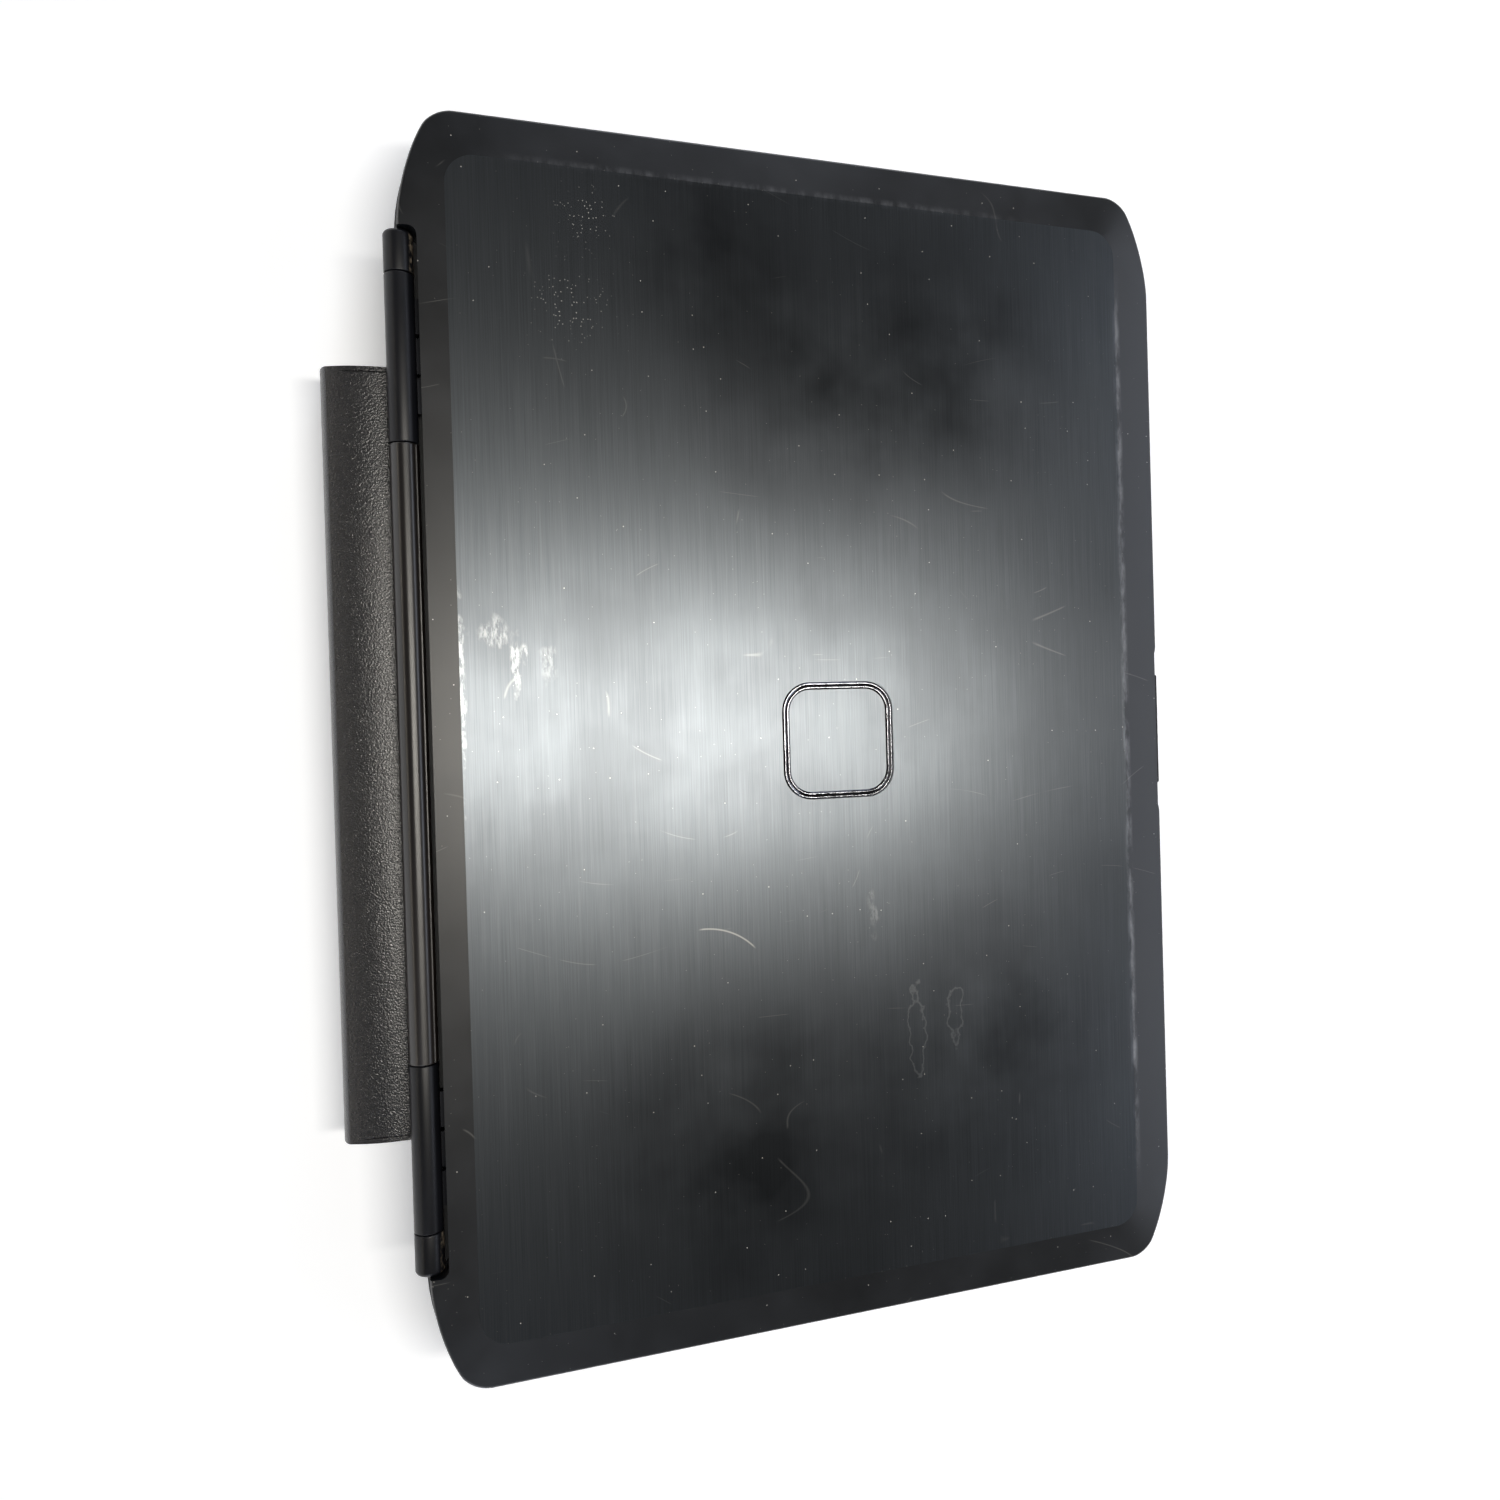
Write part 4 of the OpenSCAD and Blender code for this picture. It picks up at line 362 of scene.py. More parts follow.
# %% Brushed anodised aluminium
def brushed_plate():
    finish, tree, place = new_finish("brushed anodised aluminium")
    drawn = add_node(tree, "Mapping", {"Vector": place, "Scale": (1 / 120, 1, 1)})
    lines = add_node(tree, "TexNoise", {
        "Vector": drawn, "Scale": 1 / (0.3 * mm), "Detail": 3, "Roughness": 0.7})
    drawn = add_node(tree, "Mapping", {"Vector": place, "Scale": (1 / 40, 1, 1)})
    bands = add_node(tree, "TexNoise", {
        "Vector": drawn, "Scale": 1 / (2.8 * mm), "Detail": 3, "Roughness": 0.6})
    drawn = add_node(tree, "Mapping", {"Vector": place, "Scale": (1 / 1.2, 1, 1)})
    smears = add_node(tree, "TexNoise", {
        "Vector": drawn, "Scale": 1 / (35 * mm), "Detail": 4, "Roughness": 0.6})

    share = add_node(tree, "MapRange", (lines, 0.3, 0.7, 0, 1))
    tone = add_node(tree, "Mix", {0: share, 6: "#54585c", 7: "#63676c"}, data_type="RGBA")
    share = add_node(tree, "MapRange", (bands, 0.35, 0.65, 0, 0.22))
    tone = add_node(tree, "Mix", {0: share, 6: tone, 7: "#4f5357"}, data_type="RGBA")
    share = add_node(tree, "MapRange", (smears, 0.45, 0.62, 0, 0.15))
    tone = add_node(tree, "Mix", {0: share, 6: tone, 7: "#3c3d40"}, data_type="RGBA")
    tone = stains_and_darkening(tree, place, tone)
    # Pale marks: dried drops, and painted highlights at the plate's back edge.
    for at, half_size, whole, strength in drops_and_painted_highlights:
        mark = pale_mark(tree, place, at, half_size, whole)
        mark = add_node(tree, "Math", (mark, strength), operation="MULTIPLY")
        tone = add_node(tree, "Mix", {0: mark, 6: tone, 7: "#c9cbcc"}, data_type="RGBA")
    tone, dust = wear_of_lid(tree, place, tone)

    shader = add_node(tree, "BsdfPrincipled", {
        "Base Color": tone,
        "Metallic": add_node(tree, "Math", (1, dust), operation="SUBTRACT"),
        "Roughness": add_node(tree, "MapRange", (smears, 0.45, 0.62, 0.345, 0.365)),
        "Anisotropic": 0.3,
        "Tangent": add_node(tree, "VectorTransform", ((0, 1, 0),), convert_from="OBJECT",
                            convert_to="WORLD"),
        "Normal": add_node(tree, "Bump", {"Height": lines, "Distance": 0.008 * mm})})
    add_node(tree, "OutputMaterial", {"Surface": shader})
    return finish


brushed = brushed_plate()
print("made:", brushed.name, "with", len(brushed.node_tree.nodes), "nodes")

# %% [markdown]
# ## Plain finishes
# Most of the other surfaces are one tone with a fine grain: painted metal, moulded plastic,
# rubber, steel or tin plate. They differ in colour, gloss, grain size and grain depth, so one
# function makes them from those numbers, and broad patches of 40 mm keep them from being flat.
# Grain and depth are in millimetres. Such grain is 0.05 to 0.3 mm on the real pieces, and it is
# drawn at 0.2 to 1.2 mm, because what is finer would not show.

# %% Grained finishes
def grained(name, dark, light, rough, grain, depth, metallic=0.0, coat=0.0, patch=40):
    """A finish with a fine grain, broad patches between two tones and an uneven gloss."""
    finish, tree, place = new_finish(name)
    fine = add_node(tree, "TexNoise", {
        "Vector": place, "Scale": 1 / (grain * mm), "Detail": 2})
    broad = add_node(tree, "TexNoise", {
        "Vector": place, "Scale": 1 / (patch * mm), "Detail": 2})
    share = add_node(tree, "MapRange", (broad, 0.1, 0.9, 0, 1))
    tone = add_node(tree, "Mix", {0: share, 6: dark, 7: light}, data_type="RGBA")
    share = add_node(tree, "MapRange", (fine, 0.3, 0.7, 0, 0.25))
    tone = add_node(tree, "Mix", {0: share, 6: tone, 7: light}, data_type="RGBA")
    shader = add_node(tree, "BsdfPrincipled", {
        "Base Color": tone, "Metallic": metallic,
        "Roughness": add_node(tree, "MapRange", (broad, 0.2, 0.8, rough * 0.94, rough * 1.07)),
        "Coat Weight": coat, "Coat Roughness": 0.12,
        "Normal": add_node(tree, "Bump", {"Height": fine, "Distance": depth * mm})})
    add_node(tree, "OutputMaterial", {"Surface": shader})
    return finish


# Soft touch paint has next to no gloss, so the palm rest looks dry and even.
deck_paint = grained("soft touch painted magnesium", "#1b1c1f", "#26272b", 0.55, 0.4, 0.01)
# The case is moulded against an etched mould, which leaves a fine grain and a dull sheen.
case_plastic = grained("fine grained ABS", "#141517", "#1d1e21", 0.6, 0.5, 0.016)
# The bezel is a little smoother than the case, so that it frames the screen without glare.
bezel_plastic = grained("matt moulded polycarbonate", "#131316", "#1b1b1f", 0.55, 0.5, 0.008)
# Key caps are matt with a soft light spot on each rounded edge.
key_plastic = grained("soft matt ABS keycap", "#131417", "#1d1e22", 0.5, 0.3, 0.006)
# The touchpad and the buttons wear a smooth film, a little glossier than the paint round it.
pad_film = grained("smooth polyester film", "#1a1b1e", "#232428", 0.42, 0.3, 0.003)
# Rubber is the dullest of all and nearly black.
rubber = grained("moulded rubber", "#0d0d0e", "#17171a", 0.8, 0.6, 0.014)
# Pressed spring steel is bright, with a slight haze from rolling.
steel = grained("pressed spring steel", "#8a8c90", "#a9abae", 0.32, 0.4, 0.004, metallic=1.0)
# Blackened steel is a dark metal whose edges still catch a metallic light.
black_steel = grained("blackened steel", "#242528", "#303135", 0.4, 0.3, 0.004, metallic=1.0)
# Tin plate is the pale bright sheet of socket shells and shields.
tin_plate = grained("tinned sheet steel", "#a4a6a8", "#c0c2c3", 0.3, 0.8, 0.004, metallic=1.0)
# Cast aluminium is greyer and rougher, because the die leaves a skin on it.
cast_alloy = grained("cast aluminium", "#8d8f93", "#b0b2b5", 0.45, 0.6, 0.012, metallic=1.0)
# Bare copper is the one warm metal inside, on the heat pipe and fins.
copper = grained("bare copper", "#b5704a", "#d08e66", 0.35, 0.6, 0.005, metallic=1.0)
# Solder mask is a clear green lacquer over the board, so it has a gloss coat.
solder_mask = grained("green solder mask", "#0f3a20", "#1b5a33", 0.35, 1.2, 0.02, coat=0.4)
# Glass filled nylon is a dull near black, as socket bodies and small trays are.
socket_plastic = grained("glass filled nylon", "#101113", "#1b1c1f", 0.5, 0.5, 0.008)
# A video socket is moulded in blue so that it is found by colour.
video_plastic = grained("blue moulded nylon", "#1f3f86", "#2a52a5", 0.45, 0.5, 0.008)
# The pointing stick's cap is rubber with a deep grip texture, deeper than any other here.
stick_rubber = grained("blue textured rubber", "#1d3468", "#2c4a8a", 0.75, 0.5, 0.04)
# Polyimide tape round the display cable is a clear amber film over dark wires.
cable_tape = grained("amber polyimide tape", "#4a3a18", "#6b5424", 0.4, 0.5, 0.006)
# Chrome plate mirrors what is round it, so it is dark with light spots. Patches of 4 mm stand
# for the bright and dark things that a small rim would mirror.
mark_chrome = grained("polished chrome plate", "#26272a", "#828388", 0.18, 0.7, 0.03,
                      metallic=1.0, patch=4)
# The screen's film is matt, so that lamps show in it only as a faint haze.
panel_film = grained("matt screen film", "#0b0c0e", "#101114", 0.3, 0.2, 0.002)
# The fan and its housing are a hard dull plastic.
fan_plastic = grained("moulded PBT", "#1d1e20", "#2a2b2e", 0.5, 0.6, 0.01)
print("finishes so far:", len(bpy.data.materials))

# %% [markdown]
# ## Satin painted magnesium
# The lid's border is magnesium that is sprayed satin black. The paint gives an even tone with a
# soft sheen, and it shows dust and scratches as the plate does, so it takes the same wear. The
# spray leaves a texture of about 0.6 mm that is only some thousandths of a millimetre deep.

# %% Satin painted magnesium
def dusty_paint():
    finish, tree, place = new_finish("satin painted magnesium")
    fine = add_node(tree, "TexNoise", {
        "Vector": place, "Scale": 1 / (0.6 * mm), "Detail": 2})
    broad = add_node(tree, "TexNoise", {
        "Vector": place, "Scale": 1 / (20 * mm), "Detail": 4, "Roughness": 0.6})
    share = add_node(tree, "MapRange", (broad, 0.35, 0.65, 0, 1))
    tone = add_node(tree, "Mix", {0: share, 6: "#07090d", 7: "#0d1015"}, data_type="RGBA")
    tone, dust = wear_of_lid(tree, place, tone)
    shader = add_node(tree, "BsdfPrincipled", {
        "Base Color": tone,
        "Roughness": add_node(tree, "MapRange", (broad, 0.3, 0.7, 0.32, 0.37)),
        "Specular IOR Level": 0.8,
        "Normal": add_node(tree, "Bump", {"Height": fine, "Distance": 0.006 * mm})})
    add_node(tree, "OutputMaterial", {"Surface": shader})
    return finish


satin_paint = dusty_paint()
print("made:", satin_paint.name)

# %% [markdown]
# ## Worn ABS of the barrel
# The sleeves and end caps are moulded ABS with a satin face. The two end caps are rubbed where
# they stand against the lid, and the dark colour has worn to a pale tan there. The worn strip
# is found by its place, and noise of 1.6 mm breaks it into chips. The satin is a fine moulded
# texture under 0.1 mm, drawn at 0.6 mm so that it can show.

# %% Satin moulded ABS
sleeves_low, sleeves_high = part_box("hinge_sleeves")
barrel_y = (sleeves_low.y + sleeves_high.y) / 2


def worn_abs():
    finish, tree, place = new_finish("satin moulded ABS")
    fine = add_node(tree, "TexNoise", {
        "Vector": place, "Scale": 1 / (0.6 * mm), "Detail": 2})
    drawn = add_node(tree, "Mapping", {"Vector": place, "Scale": (1 / 3, 1, 1)})
    broad = add_node(tree, "TexNoise", {
        "Vector": drawn, "Scale": 1 / (12 * mm), "Detail": 3})
    share = add_node(tree, "MapRange", (broad, 0.35, 0.65, 0, 1))
    tone = add_node(tree, "Mix", {0: share, 6: "#090a0e", 7: "#101116"}, data_type="RGBA")

    axes = add_node(tree, "SeparateXYZ", (place,)).outputs
    from_middle = add_node(tree, "Math", (axes["X"],), operation="ABSOLUTE")
    on_caps = add_node(tree, "MapRange", (from_middle, 126.2 * mm, 126.8 * mm, 0, 1))
    strip = add_node(tree, "MapRange", (
        axes["Y"], barrel_y - 3.3 * mm, barrel_y - 2.6 * mm, 1, 0))
    chips = add_node(tree, "TexNoise", {
        "Vector": place, "Scale": 1 / (1.6 * mm), "Detail": 3, "Roughness": 0.7})
    chips = add_node(tree, "MapRange", (chips, 0.45, 0.62, 0, 0.75))
    worn = add_node(tree, "Math", (strip, on_caps), operation="MULTIPLY")
    worn = add_node(tree, "Math", (worn, chips), operation="MULTIPLY")
    tone = add_node(tree, "Mix", {0: worn, 6: tone, 7: "#8d8272"}, data_type="RGBA")

    shader = add_node(tree, "BsdfPrincipled", {
        "Base Color": tone,
        "Roughness": add_node(tree, "MapRange", (broad, 0.3, 0.7, 0.34, 0.4)),
        "Specular IOR Level": 0.35,
        "Normal": add_node(tree, "Bump", {"Height": fine, "Distance": 0.005 * mm})})
    add_node(tree, "OutputMaterial", {"Surface": shader})
    return finish


satin_abs = worn_abs()
print("made:", satin_abs.name, "for a barrel at Y", round(barrel_y / mm, 1), "mm")

# %% [markdown]
# ## Gloss cover of the barrel
# The middle cover is a gloss polycarbonate with a brown cast. A lamp shows on it as one long
# thin line along the barrel, because the little unevenness that a turned mould leaves runs
# round the barrel. Strong anisotropy along X gives that line. The bump is only 0.0001 mm deep,
# and its waves of 0.9 mm are coarser than the real ones, which are too fine to show.

# %% Gloss polycarbonate
def drawn_gloss():
    finish, tree, place = new_finish("gloss brown black polycarbonate")
    drawn = add_node(tree, "Mapping", {"Vector": place, "Scale": (1 / 3, 1, 1)})
    broad = add_node(tree, "TexNoise", {
        "Vector": drawn, "Scale": 1 / (20 * mm), "Detail": 3})
    drawn = add_node(tree, "Mapping", {"Vector": place, "Scale": (1 / 6, 1, 1)})
    lines = add_node(tree, "TexNoise", {
        "Vector": drawn, "Scale": 1 / (0.9 * mm), "Detail": 2})
    share = add_node(tree, "MapRange", (broad, 0.35, 0.65, 0, 1))
    tone = add_node(tree, "Mix", {0: share, 6: "#141110", 7: "#1e1a18"}, data_type="RGBA")
    shader = add_node(tree, "BsdfPrincipled", {
        "Base Color": tone,
        "Roughness": add_node(tree, "MapRange", (broad, 0.3, 0.7, 0.33, 0.36)),
        "Anisotropic": 0.8, "Specular IOR Level": 0.8,
        "Tangent": add_node(tree, "VectorTransform", ((1, 0, 0),), convert_from="OBJECT",
                            convert_to="WORLD"),
        "Normal": add_node(tree, "Bump", {"Height": lines, "Distance": 0.0001 * mm})})
    add_node(tree, "OutputMaterial", {"Surface": shader})
    return finish


gloss_cover = drawn_gloss()
print("made:", gloss_cover.name)

# %% [markdown]
# ## Leather grain of the battery
# The battery is moulded ABS with a grain like leather: low pebbles with narrow valleys between
# them. The raised parts are smoother and paler, so the grain sparkles in a low light. Leather
# grain of this kind is about 0.5 mm from pebble to pebble. Noise of that size gives an uneven
# height, and a Voronoi pattern of the same size lowers it towards the edge of each pebble.

# %% Leather grained ABS
def leather_grain():
    finish, tree, place = new_finish("leather grained ABS")
    grain = add_node(tree, "TexNoise", {
        "Vector": place, "Scale": 1 / (0.5 * mm), "Detail": 2, "Roughness": 0.6})
    valleys = add_node(tree, "TexVoronoi", {"Vector": place, "Scale": 1 / (0.5 * mm)})
    valleys = add_node(tree, "Math", (valleys, 0.6), operation="MULTIPLY")
    height = add_node(tree, "Math", (grain, valleys), operation="SUBTRACT")
    share = add_node(tree, "MapRange", (grain, 0.35, 0.65, 0, 1))
    tone = add_node(tree, "Mix", {0: share, 6: "#0d0d11", 7: "#232327"}, data_type="RGBA")
    shader = add_node(tree, "BsdfPrincipled", {
        "Base Color": tone,
        "Roughness": add_node(tree, "MapRange", (grain, 0.3, 0.7, 0.34, 0.26)),
        "Specular IOR Level": 0.85,
        "Normal": add_node(tree, "Bump", {"Height": height, "Distance": 0.12 * mm})})
    add_node(tree, "OutputMaterial", {"Surface": shader})
    return finish


battery_skin = leather_grain()
print("made:", battery_skin.name)

# %% [markdown]
# ## Finish for every CAD piece
# The CAD pieces that stay are matched to a finish by name, so that nothing inside the case is
# left plain when a door, a tray or the lid is open.

# %% Dress the CAD pieces
finish_of = {
    satin_paint: ["lid_cover"],
    brushed: ["lid_skin"],
    mark_chrome: ["lid_mark"],
    bezel_plastic: ["lid_bezel", "keyboard_frame"],
    rubber: ["bezel_bumpers", "rubber_feet"],
    panel_film: ["display_panel"],
    gloss_cover: ["camera_module", "hinge_cover"],
    cable_tape: ["display_cable"],
    steel: ["hinge_shafts", "latch_slider", "latch_springs", "disc_spindle"],
    satin_abs: ["hinge_sleeves", "hinge_caps", "latch_button"],
    case_plastic: ["bottom_case", "service_door", "battery_latch_left", "battery_latch_right"],
    deck_paint: ["top_cover"],
    black_steel: ["case_screws", "hinge_arms"],
    tin_plate: ["keyboard_plate", "disc_drive", "usb_sockets", "network_socket", "card_cage"],
    key_plastic: ["keys_function", "keys_number", "keys_upper", "keys_home", "keys_lower",
                  "keys_bottom", "space_bar"],
    stick_rubber: ["pointing_stick"],
    pad_film: ["touchpad", "pad_button_left", "pad_button_right", "stick_button_left",
               "stick_button_right", "power_button", "wireless_button"],
    battery_skin: ["battery_pack"],
    cast_alloy: ["hard_drive"],
    socket_plastic: ["disc_tray", "eject_button", "speakers", "sound_sockets", "power_inlet",
                     "dock_connector"],
    solder_mask: ["main_board", "memory_modules", "wireless_card"],
    copper: ["heat_sink"],
    fan_plastic: ["fan_housing", "fan_rotor"],
    video_plastic: ["video_socket"],
}
for finish, names in finish_of.items():
    for name in names:
        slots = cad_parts[name].data.materials
        slots.clear()
        slots.append(finish)
dressed = {name for names in finish_of.values() for name in names}
print("CAD pieces without a finish:", sorted(set(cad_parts) - dressed))

# %% [markdown]
# ## Tools for modelling
# Each piece starts as a primitive at its size and place and is shaped in edit mode. These
# helpers deselect everything first, because the loaded frame is still selected, and pick
# vertices, edges or faces by where they are, as a hand would with a box selection.

# %% Starting a piece and picking its parts
def start(name, add, **place):
    """Adds a primitive alone, applies its place and leaves it selected in edit mode."""
    bpy.ops.object.select_all(action="DESELECT")
    add(**place)
    piece = bpy.context.object
    piece.name = piece.data.name = name
    bpy.ops.object.transform_apply(location=True, rotation=True, scale=True)
    bpy.ops.object.mode_set(mode="EDIT")
    bpy.ops.mesh.select_all(action="SELECT")
    return piece


def pick(piece, kind, test):
    """Selects the vertices, edges or faces that pass the test."""
    modes = {"VERT": (True, False, False), "EDGE": (False, True, False),
             "FACE": (False, False, True)}
    bpy.context.tool_settings.mesh_select_mode = modes[kind]
    bpy.ops.mesh.select_all(action="DESELECT")
    mesh = bmesh.from_edit_mesh(piece.data)
    parts = {"VERT": mesh.verts, "EDGE": mesh.edges, "FACE": mesh.faces}[kind]
    for part in parts:
        if test(part):
            part.select_set(True)
    bmesh.update_edit_mesh(piece.data)


def near(a, b, slack=0.02 * mm):
    return abs(a - b) < slack


def ends_at(edge, axis, value):
    """True if both ends of the edge lie at that value on the axis."""
    return all(near(v.co[axis], value) for v in edge.verts)


def raise_up(height):
    """Extrudes all faces of the open mesh straight up, or down for a height below 0."""
    bpy.ops.mesh.extrude_region_move(TRANSFORM_OT_translate={"value": (0, 0, height)})


def finish_mesh(piece):
    """Merges doubles, turns the faces outwards and goes back to object mode."""
    bpy.ops.mesh.select_all(action="SELECT")
    bpy.ops.mesh.remove_doubles(threshold=0.002 * mm)
    bpy.ops.mesh.normals_make_consistent(inside=False)
    bpy.ops.object.mode_set(mode="OBJECT")


print("two places closer than 0.02 mm count as the same:", near(0, 0.01 * mm))

# %% [markdown]
# ## Tools for joining, cutting and rounding
# Openings are cut and webs are welded on with boolean modifiers, which leave closed meshes, and
# a bevel modifier then rounds what is sharp. Weighted normals let the large faces stay flat
# in the light. The last helper gives a piece its finish and ties it to the CAD model.

# %% Modifiers and the last step
def only(piece):
    """Selects one piece and makes it the active one."""
    bpy.ops.object.select_all(action="DESELECT")
    piece.select_set(True)
    bpy.context.view_layer.objects.active = piece


def modify(piece, kind, **settings):
    """Adds a modifier with its settings and applies it."""
    only(piece)
    made = piece.modifiers.new(kind.lower(), kind)
    for name, value in settings.items():
        setattr(made, name, value)
    bpy.ops.object.modifier_apply(modifier=made.name)


def combine(operation, piece, *others):
    """Cuts the others out of the piece, or welds them to it, and removes them."""
    for other in others:
        modify(piece, "BOOLEAN", operation=operation, object=other, solver="MANIFOLD")
        bpy.data.objects.remove(other)


def soften(piece, width):
    """Rounds edges sharper than 50 degrees and keeps the large faces flat in the light."""
    modify(piece, "BEVEL", width=width, segments=2, limit_method="ANGLE",
           angle_limit=math.radians(50), use_clamp_overlap=True)
    bpy.ops.object.shade_smooth_by_angle(angle=math.radians(40))
    modify(piece, "WEIGHTED_NORMAL", keep_sharp=True, weight=100)


def hand_over(piece, finish, slot, body, *nodes):
    """Gives the piece its finish and its body, and hides what it replaces; slot is not used."""
    piece.data.materials.clear()
    piece.data.materials.append(finish)
    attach(piece, body)
    if nodes:
        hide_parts(*nodes)
    print(piece.name, len(piece.data.polygons), "faces")


# %% [markdown]
# ## Sheets and boxes
# Seen from above, each corner of the lid is one long sweep that tightens into the side. A round
# corner would be too plain and a curve is slow to adjust, so a plane is cut across its corners
# and its new points are rounded with two different bevels. A second sheet has plain round
# corners, for the plate, the badge and the bay of the barrel.

# %% Sheets and boxes
cut_across = 16.90 * mm
cut_along = 9.47 * mm
sweep_reach = 14.10 * mm
tight_reach = 5.27 * mm


def flat_sheet(name, low, high, z):
    """A flat rectangle between two corners, in edit mode."""
    sheet = start(name, bpy.ops.mesh.primitive_plane_add, size=1, location=(0, 0, 0))
    bpy.ops.transform.resize(value=(high[0] - low[0], high[1] - low[1], 1))
    bpy.ops.transform.translate(value=((low[0] + high[0]) / 2, (low[1] + high[1]) / 2, z))
    return sheet


def swept_sheet(name, half_x, y0, y1, z):
    """A flat sheet with the laptop's swept corners, in edit mode."""
    sheet = flat_sheet(name, (-half_x, y0), (half_x, y1), z)
    for sx in (-1, 1):
        for sy, edge in ((-1, y0), (1, y1)):
            bpy.ops.mesh.select_all(action="SELECT")
            bpy.ops.mesh.bisect(plane_co=(sx * (half_x - cut_across), edge, z),
                                plane_no=(sx * cut_along, sy * cut_across, 0),
                                clear_outer=True)
    pick(sheet, "VERT", lambda v: near(v.co.y, y0) or near(v.co.y, y1))
    bpy.ops.mesh.bevel(offset=sweep_reach, segments=16, affect="VERTICES")
    pick(sheet, "VERT", lambda v: near(abs(v.co.x), half_x))
    bpy.ops.mesh.bevel(offset=tight_reach, segments=10, affect="VERTICES")
    return sheet


def round_sheet(name, low, high, z, radius, segments=8):
    """A flat rectangular sheet with round corners, in edit mode."""
    sheet = flat_sheet(name, low, high, z)
    bpy.ops.mesh.bevel(offset=radius, segments=segments, affect="VERTICES")
    return sheet


def start_box(name, low, high):
    """A box between two corners, in edit mode, to be shaped or cut with."""
    low, high = Vector(low), Vector(high)
    piece = start(name, bpy.ops.mesh.primitive_cube_add, size=1, location=(0, 0, 0))
    bpy.ops.transform.resize(value=high - low)
    bpy.ops.transform.translate(value=(low + high) / 2)
    return piece


print("swept corner in mm:", round(cut_across / mm, 2), "by", round(cut_along / mm, 2))

# %% [markdown]
# ## Lid shell
# The lid is a pressed and painted metal shell. The swept sheet is extruded to a wall whose upper
# edge is rounded, and a second, smaller sheet at the full height is bridged to it, which gives
# the border its slope. Its middle is then pushed down to hold the brushed plate.

# %% Lid shell
base_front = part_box("bottom_case")[0].y
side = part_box("bottom_case")[1].x
lid_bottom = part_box("lid_cover")[0].z
border_drop = 0.9 * mm
edge_round = 0.8 * mm
plate_corner = 8 * mm
plate_thick = skin_high.z - skin_low.z
border_z = lid_top - border_drop
few_points = 8  # a face with more points than this is a whole sheet

lid_shell = swept_sheet("lid_shell", side, base_front, barrel_y, lid_bottom)
bpy.ops.mesh.select_all(action="SELECT")
raise_up(border_z - lid_bottom)
pick(lid_shell, "EDGE", lambda e: ends_at(e, 2, border_z))
bpy.ops.mesh.bevel(offset=edge_round, segments=5, affect="EDGES")
pick(lid_shell, "FACE", lambda f: (len(f.verts) > few_points
                                   and near(f.calc_center_median().z, border_z)))
bpy.ops.mesh.delete(type="ONLY_FACE")
bpy.ops.object.mode_set(mode="OBJECT")

round_sheet("crease", skin_low, skin_high, lid_top, plate_corner)
bpy.ops.object.mode_set(mode="OBJECT")
lid_shell.select_set(True)
bpy.context.view_layer.objects.active = lid_shell
bpy.ops.object.join()
bpy.ops.object.mode_set(mode="EDIT")
pick(lid_shell, "EDGE", lambda e: e.is_boundary)
bpy.ops.mesh.bridge_edge_loops()
pick(lid_shell, "FACE", lambda f: (near(f.calc_center_median().z, lid_top)
                                   and len(f.verts) > few_points))
raise_up(-plate_thick)
finish_mesh(lid_shell)
print("lid shell before its openings:", len(lid_shell.data.polygons), "faces")

# %% [markdown]
# ## Openings of the lid shell
# The barrel lies in a bay between two ears at the back, and the display in a hollow below.
# Both are cut with boolean modifiers, and so are the shallow hollow of the front edge and the
# window of the latch button. A narrow bevel then rounds every edge that is left sharp.

# %% Openings of the lid shell
barrel_z = (sleeves_low.z + sleeves_high.z) / 2
barrel_r = (sleeves_high.z - sleeves_low.z) / 2
lid_wall = 1.8 * mm
lid_roof = 1.9 * mm
bay_front = barrel_y - barrel_r - 1.02 * mm
bay_half = side - 31.45 * mm
bay_corner = 2.4 * mm
far_past = 20 * mm
hollow_outer = 30.4 * mm
hollow_inner = 24.4 * mm
hollow_depth = 0.82 * mm
button_gap = 0.3 * mm
button_low, button_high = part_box("latch_button")

cavity = swept_sheet("cavity", side, base_front, bay_front, lid_bottom - mm)
bpy.context.tool_settings.mesh_select_mode = (False, False, True)
bpy.ops.mesh.select_all(action="SELECT")
bpy.ops.mesh.inset(thickness=lid_wall)
bpy.ops.mesh.select_all(action="INVERT")
bpy.ops.mesh.delete(type="FACE")
bpy.ops.mesh.select_all(action="SELECT")
raise_up(lid_top - lid_roof - lid_bottom + mm)
finish_mesh(cavity)

bay = round_sheet("bay", (-bay_half, bay_front), (bay_half, barrel_y + far_past),
                  lid_bottom - mm, bay_corner)
bpy.ops.mesh.select_all(action="SELECT")
raise_up(far_past)
finish_mesh(bay)

hollow = start_box("hollow", (-hollow_outer, base_front - mm, lid_bottom - mm),
                   (hollow_outer, base_front + hollow_depth, lid_top + mm))
pick(hollow, "VERT", lambda v: near(v.co.y, base_front + hollow_depth))
bpy.ops.transform.resize(value=(hollow_inner / hollow_outer, 1, 1),
                         center_override=(0, base_front, 0))
finish_mesh(hollow)

window = start_box(
    "window",
    (button_low.x - button_gap, base_front - mm, button_low.z - button_gap),
    (button_high.x + button_gap, base_front + 3 * mm, button_high.z + button_gap))
finish_mesh(window)
combine("DIFFERENCE", lid_shell, cavity, bay, hollow, window)
soften(lid_shell, 0.22 * mm)
hand_over(lid_shell, satin_paint, "lid_metal", "lid", "lid_cover")

# %% [markdown]
# ## Brushed plate
# The plate is a thin sheet that fills the lid's pocket, so a round sheet is raised to its
# thickness, 0.02 mm above the pocket's floor so that the two faces don't fight. A shallow pocket
# of its own, cut with a second sheet, takes the badge.

